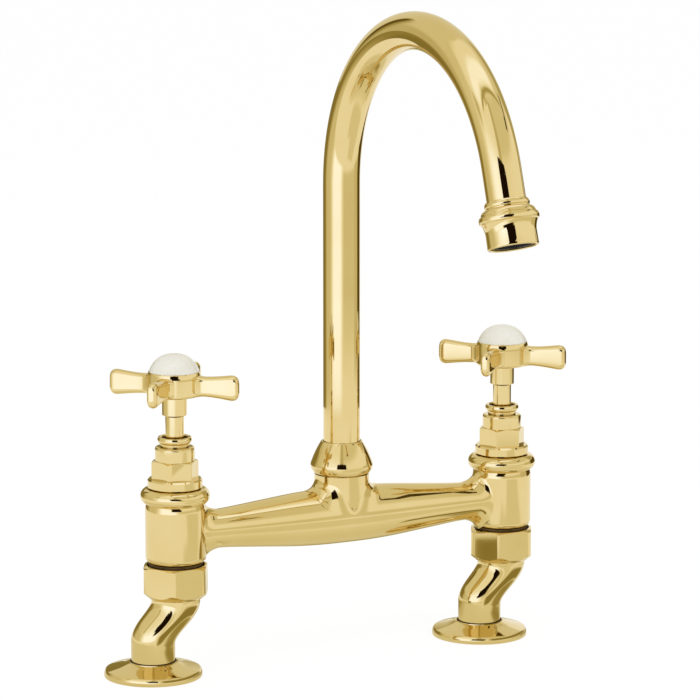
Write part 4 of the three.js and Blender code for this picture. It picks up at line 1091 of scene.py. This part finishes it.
class TAP_OT_nozzle(bpy.types.Operator):
    """Models the beaded nozzle on the end of the spout"""

    bl_idname = "tap.nozzle"
    bl_label = "Nozzle"

    def execute(self, context):
        socket, bulge, mouth, long = 9.25, 13.85, 11.75, 21.5
        shell = [(socket, 0.2), (socket + 0.2, 0), (socket + 0.5, 0)]
        shell += arc_through((socket + 0.6, 0.2), (socket + 1.15, 1.6), (socket + 0.95, 2.7), 6)
        shell += [(socket + 0.75, 2.95), (socket + 0.75, 3.3)]
        shell += arc_through((bulge - 2.9, 3.5), (bulge - 1.5, 4.9), (bulge - 1.15, 6.2), 8)
        shell += [(bulge - 0.75, 6.4)]
        shell += arc_through((bulge - 0.35, 6.6), (bulge, 8.0), (bulge - 0.25, 9.4), 8)
        shell += [(bulge - 0.75, 9.75)]
        shell += arc_through((bulge - 1.0, 9.9), (mouth + 0.35, 11.8), (mouth - 0.1, 14.6), 10)
        shell += [(mouth, long - 1.3), *arc((mouth - 0.55, long - 0.6), 0.6, 10, 90, 5), (mouth - 1.1, long)]
        shell += [(10.3, long - 0.4), (10.3, 10.2), (7.5, 10.2), (7.5, 8.8), (socket, 8.8)]
        nozzle = down_stream(turned("beaded_nozzle", millimetres(shell), sides=FINE_SIDES))
        finish_piece(smooth(nozzle, 28), SPOUT, "polished_brass", polished_brass(), "nozzle")
        return {"FINISHED"}


class TAP_OT_aerator(bpy.types.Operator):
    """Models the aerator's moulded housing and its wire mesh"""

    bl_idname = "tap.aerator"
    bl_label = "Aerator"

    def execute(self, context):
        radius, bore, start, end = 9.95, 8.95, 12.3, 20.5
        screen = start + 0.15
        ledge, ledge_top = bore - 1, screen + 1.3
        profile = [(bore + 0.2, start), (radius, start), (radius, end - 0.3), (radius - 0.3, end), (bore, end)]
        profile += [(bore, screen + 2.5), (ledge, screen + 2.2), (ledge, ledge_top), (bore + 0.2, ledge_top)]
        housing = down_stream(turned("aerator_cup", millimetres(profile), sides=64))
        finish_piece(smooth(housing), SPOUT, "black_plastic", black_plastic(), "aerator_housing")
        bpy.ops.object.select_all(action="DESELECT")
        wires = 22
        bpy.ops.mesh.primitive_grid_add(x_subdivisions=wires, y_subdivisions=wires, size=2 * bore * MM)
        mesh = name_piece(bpy.context.object, "aerator_mesh")
        for vertex in mesh.data.vertices:
            vertex.select = vertex.co.length > (bore - 0.3) * MM
        edit_marked(mesh)
        bpy.ops.mesh.delete(type="VERT")
        leave_edit()
        modify(mesh, "WIREFRAME", thickness=0.32 * MM)
        ring = [(bore - 0.9, 0.5), (bore - 0.9, -0.5), (bore - 0.1, -0.5), (bore - 0.1, 0.5)]
        combine(mesh, turned("mesh_ring", millimetres(ring), sides=48))
        down_stream(place(mesh, (0, 0, (screen + 0.5) * MM)))
        # The mesh gets the darkened wire: painted shade inside the nozzle.
        finish_piece(smooth(mesh), SPOUT, "steel", shaded_mesh_wire(), "aerator_screen")
        return {"FINISHED"}


class TAP_OT_hidden_pieces(bpy.types.Operator):
    """Gives the solids that stay, such as seals and discs, their materials"""

    bl_idname = "tap.hidden_pieces"
    bl_label = "Seals, discs and screws"

    def execute(self, context):
        slots = {entry["node"]: entry["material_slot"] for entry in frame["record"]["subparts"]}
        for name, node in frame["nodes"].items():
            if node.hide_render:
                continue
            for holder in node.material_slots:
                holder.material = MATERIAL_OF_SLOT[slots[name]]()
        return {"FINISHED"}


# ---- Stage -----------------------------------------------------------------------------------------------

# What the metal mirrors: soft patches of light and dark on a far dome, a low wall and the floor.
# Dome and wall: azimuth and half width, elevation or height and half of it, softness of both edges, level
DOME_PATCHES = (
    (180, 62, 10, 90, 34, 10, 0.76),
    (-150, 10, -4, 22, 14, 12, 0.58),
    (-165, 3, 4, 24, 7, 9, 0.3),
    (112, 13, 0, 34, 8, 10, 0.42),
    (40, 62, 50, 12, 12, 10, 0.76),
    (-27, 4, 45, 12, 6, 22, 0.55),
    (-168, 2.2, 23, 11, 2.5, 5, 0.06),
    (-95, 3, 38, 7, 6, 8, 0.6),
)
WALL_PATCHES = (
    (-57, 16, 0.13, 0.10, 26, 0.06, 1.42),
    (34, 42, 0.11, 0.03, 22, 0.07, 0.74),
    (74, 12, 0.13, 0.09, 8, 0.03, 0.64),
    (104, 15, 0.12, 0.12, 5, 0.02, 0.07),
    (-122, 12, 0.14, 0.12, 30, 0.05, 0.7),
    (-173, 20, 0.13, 0.13, 26, 0.03, 0.22),
    (-27, 17, 0.235, 0.07, 2, 0.015, 0.005),
)
# The floor patches are painted shade and painted shadow, seen only by the metal: the floor in front a little
# dim, the tap's shadow behind it and dark patches right of each foot.
# Floor: middle and half lengths along X and Y, softness of the edges, level
FLOOR_PATCHES = (
    (0.17, -0.33, 0.10, 0.13, 0.08, 0.80),
    (0.10, -0.20, 0.14, 0.06, 0.06, 0.80),
    (0.0, -0.02, 0.16, 0.05, 0.04, 0.86),
    (0.0, 0.06, 0.20, 0.08, 0.06, 0.78),
    (0.01, 0.06, 0.10, 0.018, 0.025, 0.62),
    (0.06, 0.075, 0.04, 0.012, 0.02, 0.35),
    (FOOT_X["left"] + 0.042, -0.018, 0.008, 0.02, 0.01, 0.3),
    (FOOT_X["right"] + 0.042, -0.018, 0.008, 0.02, 0.01, 0.3),
)
WALL_RADIUS, WALL_HEIGHT = 0.64, 0.27
DOME_RADIUS, FLAG_DISTANCE = 2.6, 2.2
FLOOR_HALF = 0.66
TOP_BOX_HEIGHT, TOP_BOX_LEVEL, TOP_BOX_EDGE_LEVEL = 0.62, 1.28, 0.4
SOFT_BOX_AZIMUTH, SOFT_BOX_ELEVATION, SOFT_BOX_GAIN = -52, 15, 0.6
# The foot cards' darkness is painted shade, seen only in the cranks.
FOOT_CARD_RADIUS, FOOT_CARD_DARKNESS = 0.05, 0.75
CAMERA_FLAG_LEVEL, FRAME_END_LEVEL = 0.005, 0.05

# The camera, as solved from the photograph: its place and the way it looks
CAMERA_PLACE = (-0.896197, -1.740609, 0.500275)
CAMERA_AHEAD = (0.45247311, 0.87432536, -0.17556553)

# name, azimuth, elevation, distance, width, height, full power in watts
LAMPS = (
    ("high_panel", -10, 62, 1.1, 1.3, 0.45, 5.0),
    ("left_panel", -75, 30, 1.0, 0.35, 0.9, 2.6),
    ("right_panel", 30, 35, 1.1, 0.3, 0.8, 2.0),
)
LAMPS_AIM = Vector((0, 0, 0.12))

# The kinds of ray that pass the mirrored sheets, and those that see the white background
PASSING_RAYS = ("camera", "diffuse", "shadow", "transmission", "volume_scatter")
BACKGROUND_RAYS = ("Is Camera Ray", "Is Glossy Ray", "Is Transmission Ray")


def band(distance, half, soft):
    """1 inside a band, falling smoothly to 0 past its soft edge."""
    t = min(1, max(0, (abs(distance) - half) / soft))
    return 1 - t * t * (3 - 2 * t)


def around(azimuth, centre):
    """Degrees from a centre, the short way round."""
    return (azimuth - centre + 180) % 360 - 180


def tint(level):
    """Soft boxes are a little cool and the dim parts of the studio are warm."""
    if level > 1:
        return level ** 0.7, level, level ** 2.1, 1
    return level ** 0.85, level, level ** 1.8, 1


def patched(level, patches, a, b):
    """A level after each patch in turn has drawn it towards its own."""
    for centre, half, middle, tall, soft_a, soft_b, patch_level in patches:
        amount = band(around(a, centre), half, soft_a) * band(b - middle, tall, soft_b)
        level += (patch_level - level) * amount
    return level


def mirrored(name, rows, level_at):
    """A sheet through rows of points that only the metal sees. level_at gives its brightness at a point."""
    wide = len(rows[0])
    points = [point for row in rows for point in row]
    quads = [
        (i * wide + k, i * wide + k + 1, (i + 1) * wide + k + 1, (i + 1) * wide + k)
        for i in range(len(rows) - 1) for k in range(wide - 1)
    ]
    mesh = bpy.data.meshes.new(name)
    mesh.from_pydata(points, [], quads)
    glow = mesh.color_attributes.new("glow", "FLOAT_COLOR", "POINT")
    for point, value in zip(points, glow.data):
        value.color = tint(level_at(point))
    material = bpy.data.materials.new(name)
    material.use_nodes = True
    tree = material.node_tree
    tree.nodes.clear()
    reader = tree.nodes.new("ShaderNodeAttribute")
    reader.attribute_name = "glow"
    light = tree.nodes.new("ShaderNodeEmission")
    tree.links.new(reader.outputs["Color"], light.inputs["Color"])
    tree.links.new(light.outputs[0], tree.nodes.new("ShaderNodeOutputMaterial").inputs[0])
    mesh.materials.append(material)
    sheet = bpy.data.objects.new(name, mesh)
    bpy.context.collection.objects.link(sheet)
    for kind in PASSING_RAYS:
        setattr(sheet, f"visible_{kind}", False)


def toward(azimuth, elevation, distance):
    """A point as seen from the tap's middle. Azimuth 0 is in front, and 90 to the right."""
    a, e = math.radians(azimuth), math.radians(elevation)
    return distance * math.sin(a) * math.cos(e), -distance * math.cos(a) * math.cos(e), distance * math.sin(e)


def directions(point):
    """Azimuth and elevation of a point, in degrees."""
    x, y, z = point
    return math.degrees(math.atan2(x, -y)), math.degrees(math.atan2(z, math.hypot(x, y)))


def plane_rows(x0, x1, y0, y1, z, steps):
    spans = [i / steps for i in range(steps + 1)]
    return [[(x0 + (x1 - x0) * u, y0 + (y1 - y0) * v, z) for u in spans] for v in spans]


def dome_level(point):
    """The white studio with a large soft box on the left, brightest in its middle."""
    azimuth, elevation = directions(point)
    left, up = around(azimuth, SOFT_BOX_AZIMUTH), elevation - SOFT_BOX_ELEVATION
    soft_box = SOFT_BOX_GAIN * math.exp(-((left / 30) ** 2 + (up / 10) ** 2) / 2)
    soft_box *= band(around(azimuth, -90), 50, 26)
    return patched(1 + soft_box, DOME_PATCHES, azimuth, elevation)


def top_box_level(point):
    """The long soft box overhead, brightest along its middle, with its frame's thin dark edge in front."""
    x, y, _ = point
    level = dome_level(point)
    level += (TOP_BOX_LEVEL - level) * band(x + 0.07, 0.24, 0.2) * band(y + 0.155, 0.03, 0.06)
    return level + (TOP_BOX_EDGE_LEVEL - level) * band(x, 0.3, 0.14) * band(y + 0.25, 0.003, 0.022)


def foot_card_level(point, x):
    """White, with a low dark patch of painted shade to the right of a foot at x."""
    azimuth = math.degrees(math.atan2(point[0] - x, -point[1]))
    return 1 - FOOT_CARD_DARKNESS * band(azimuth - 42, 44, 14) * band(point[2] - 0.0135, 0.006, 0.004)


def wall_level(point):
    return patched(1, WALL_PATCHES, directions(point)[0], point[2])


# Painted shade and painted shadow on the floor that the metal mirrors.
def floor_level(point):
    level = 1
    for x, y, half_x, half_y, soft, patch_level in FLOOR_PATCHES:
        amount = band(point[0] - x, half_x, soft) * band(point[1] - y, half_y, soft)
        level += (patch_level - level) * amount
    return level


def ray_kinds(tree, *kinds):
    """1 for rays of any of these kinds."""
    path = tree.nodes.new("ShaderNodeLightPath")
    total = path.outputs[kinds[0]]
    for kind in kinds[1:]:
        add = tree.nodes.new("ShaderNodeMath")
        add.operation = "ADD"
        add.use_clamp = True
        tree.links.new(total, add.inputs[0])
        tree.links.new(path.outputs[kind], add.inputs[1])
        total = add.outputs[0]
    return total


class TAP_OT_stage(bpy.types.Operator):
    """Makes the floor, the lights, the sheets that the metal mirrors and the camera"""

    bl_idname = "tap.stage"
    bl_label = "Studio"

    def execute(self, context):
        look = context.scene.studio_look
        scene = context.scene
        scene.view_settings.view_transform = "Standard"
        self.make_world(scene, look)
        self.make_floor(look)
        self.make_sheets()
        self.make_lamps(look)
        self.make_camera(scene, look)
        return {"FINISHED"}

    def make_world(self, scene, look):
        world = bpy.data.worlds.new("studio")
        scene.world = world
        world.use_nodes = True
        tree = world.node_tree
        background = tree.nodes["Background"]
        background.inputs["Color"].default_value = (1, 1, 1, 1)
        seen = ray_kinds(tree, *BACKGROUND_RAYS)
        level = tree.nodes.new("ShaderNodeMapRange")
        level.inputs["To Min"].default_value = look.light_level
        level.inputs["To Max"].default_value = 1
        tree.links.new(seen, level.inputs["Value"])
        tree.links.new(level.outputs["Result"], background.inputs["Strength"])

    def make_floor(self, look):
        bpy.ops.object.select_all(action="DESELECT")
        bpy.ops.mesh.primitive_plane_add(size=30, location=(0, 0, -0.0002))
        floor = name_piece(bpy.context.object, "floor")
        material = bpy.data.materials.new("floor")
        material.use_nodes = True
        tree = material.node_tree
        tree.nodes.clear()
        paint = tree.nodes.new("ShaderNodeBsdfDiffuse")
        paint.inputs["Color"].default_value = (0.95, 0.95, 0.95, 1)
        glow = tree.nodes.new("ShaderNodeEmission")
        glow.inputs["Strength"].default_value = look.floor_glow
        fade = tree.nodes.new("ShaderNodeMath")
        fade.operation = "MULTIPLY"
        fade.inputs[1].default_value = 1 - look.floor_shadow
        tree.links.new(ray_kinds(tree, *BACKGROUND_RAYS), fade.inputs[0])
        mix = tree.nodes.new("ShaderNodeMixShader")
        tree.links.new(fade.outputs[0], mix.inputs[0])
        tree.links.new(paint.outputs[0], mix.inputs[1])
        tree.links.new(glow.outputs[0], mix.inputs[2])
        tree.links.new(mix.outputs[0], tree.nodes.new("ShaderNodeOutputMaterial").inputs[0])
        floor.data.materials.append(material)

    def make_sheets(self):
        turn = range(-180, 181, 3)
        dome = [[toward(a, e, DOME_RADIUS) for a in turn] for e in range(-3, 91, 3)]
        mirrored("dome", dome, dome_level)
        wall_rows = 18
        heights = [WALL_HEIGHT * i / wall_rows for i in range(wall_rows + 1)]
        wall = [[(*toward(a, 0, WALL_RADIUS)[:2], z) for a in turn] for z in heights]
        mirrored("low_wall", wall, wall_level)
        floor = plane_rows(-FLOOR_HALF, FLOOR_HALF, -FLOOR_HALF, FLOOR_HALF, 0.1 * MM, 132)
        mirrored("mirrored_floor", floor, floor_level)
        mirrored("top_box", plane_rows(-0.52, 0.44, -0.30, 0.06, TOP_BOX_HEIGHT, 90), top_box_level)
        # painted shade in front of each foot: a low dark card, seen only by the crank above it, that stands in
        # for the shade by the foot
        for hand in HANDS:
            x = FOOT_X[hand]
            card = [
                [(x + dx, dy, z) for dx, dy, _ in (toward(a, 0, FOOT_CARD_RADIUS) for a in range(-16, 106, 4))]
                for z in (0.0045, 0.006, 0.008, 0.011, 0.015, 0.018, 0.020, 0.022, 0.024)
            ]
            mirrored(f"foot_card_{hand}", card, lambda point: foot_card_level(point, x))
        # the dark camera and its stand, and the dark end of the frame overhead
        camera_flag = [[toward(a, e, FLAG_DISTANCE) for a in (-45, -9)] for e in (5, 31)]
        mirrored("camera_flag", camera_flag, lambda point: CAMERA_FLAG_LEVEL)
        frame_end = plane_rows(0.40, 0.50, -0.40, -0.12, TOP_BOX_HEIGHT + 2 * MM, 1)
        mirrored("frame_end", frame_end, lambda point: FRAME_END_LEVEL)

    def make_lamps(self, look):
        for name, azimuth, elevation, distance, wide, tall, power in LAMPS:
            data = bpy.data.lights.new(name, "AREA")
            data.shape = "RECTANGLE"
            data.size, data.size_y = wide, tall
            data.energy = power * look.lamp_level
            lamp = bpy.data.objects.new(name, data)
            bpy.context.collection.objects.link(lamp)
            lamp.visible_glossy = False
            out = Vector(toward(azimuth, elevation, 1))
            lamp.location = LAMPS_AIM + out * distance
            lamp.rotation_euler = out.to_track_quat("Z", "Y").to_euler()

    def make_camera(self, scene, look):
        data = bpy.data.cameras.new("camera")
        data.lens = look.lens
        data.sensor_width = 36
        data.clip_start, data.clip_end = 0.05, 50
        camera = bpy.data.objects.new("camera", data)
        bpy.context.collection.objects.link(camera)
        camera.location = CAMERA_PLACE
        camera.rotation_mode = "QUATERNION"
        camera.rotation_quaternion = Vector(CAMERA_AHEAD).to_track_quat("-Z", "Y")
        scene.camera = camera


# ---- Panel and registration ------------------------------------------------------------------------------

PIECES = (
    TAP_OT_bridge, TAP_OT_flanges, TAP_OT_legs, TAP_OT_union_nuts, TAP_OT_headworks, TAP_OT_gland_rings,
    TAP_OT_spindles, TAP_OT_handles, TAP_OT_indices, TAP_OT_spout_tube, TAP_OT_spout_collar, TAP_OT_nozzle,
    TAP_OT_aerator, TAP_OT_hidden_pieces, TAP_OT_stage,
)


class TAP_PT_panel(bpy.types.Panel):
    """Lists the tap's pieces and settings"""

    bl_label = "Bridge kitchen tap"
    bl_idname = "TAP_PT_panel"
    bl_space_type = "VIEW_3D"
    bl_region_type = "UI"
    bl_category = "Tap"

    def draw(self, context):
        for piece in PIECES:
            self.layout.operator(piece.bl_idname)
        for settings in (context.scene.tap_sizes, context.scene.tap_finish, context.scene.studio_look):
            box = self.layout.box()
            for key in settings.__annotations__:
                box.prop(settings, key)


CLASSES = (TapSizes, TapFinish, StudioLook, *PIECES, TAP_PT_panel)


def register():
    for cls in CLASSES:
        bpy.utils.register_class(cls)
    bpy.types.Scene.tap_sizes = bpy.props.PointerProperty(type=TapSizes)
    bpy.types.Scene.tap_finish = bpy.props.PointerProperty(type=TapFinish)
    bpy.types.Scene.studio_look = bpy.props.PointerProperty(type=StudioLook)


def unregister():
    del bpy.types.Scene.studio_look
    del bpy.types.Scene.tap_finish
    del bpy.types.Scene.tap_sizes
    for cls in reversed(CLASSES):
        bpy.utils.unregister_class(cls)


def main():
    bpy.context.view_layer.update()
    register()
    for piece in PIECES:
        group, name = piece.bl_idname.split(".")
        getattr(getattr(bpy.ops, group), name)()


if __name__ == "__main__":
    main()
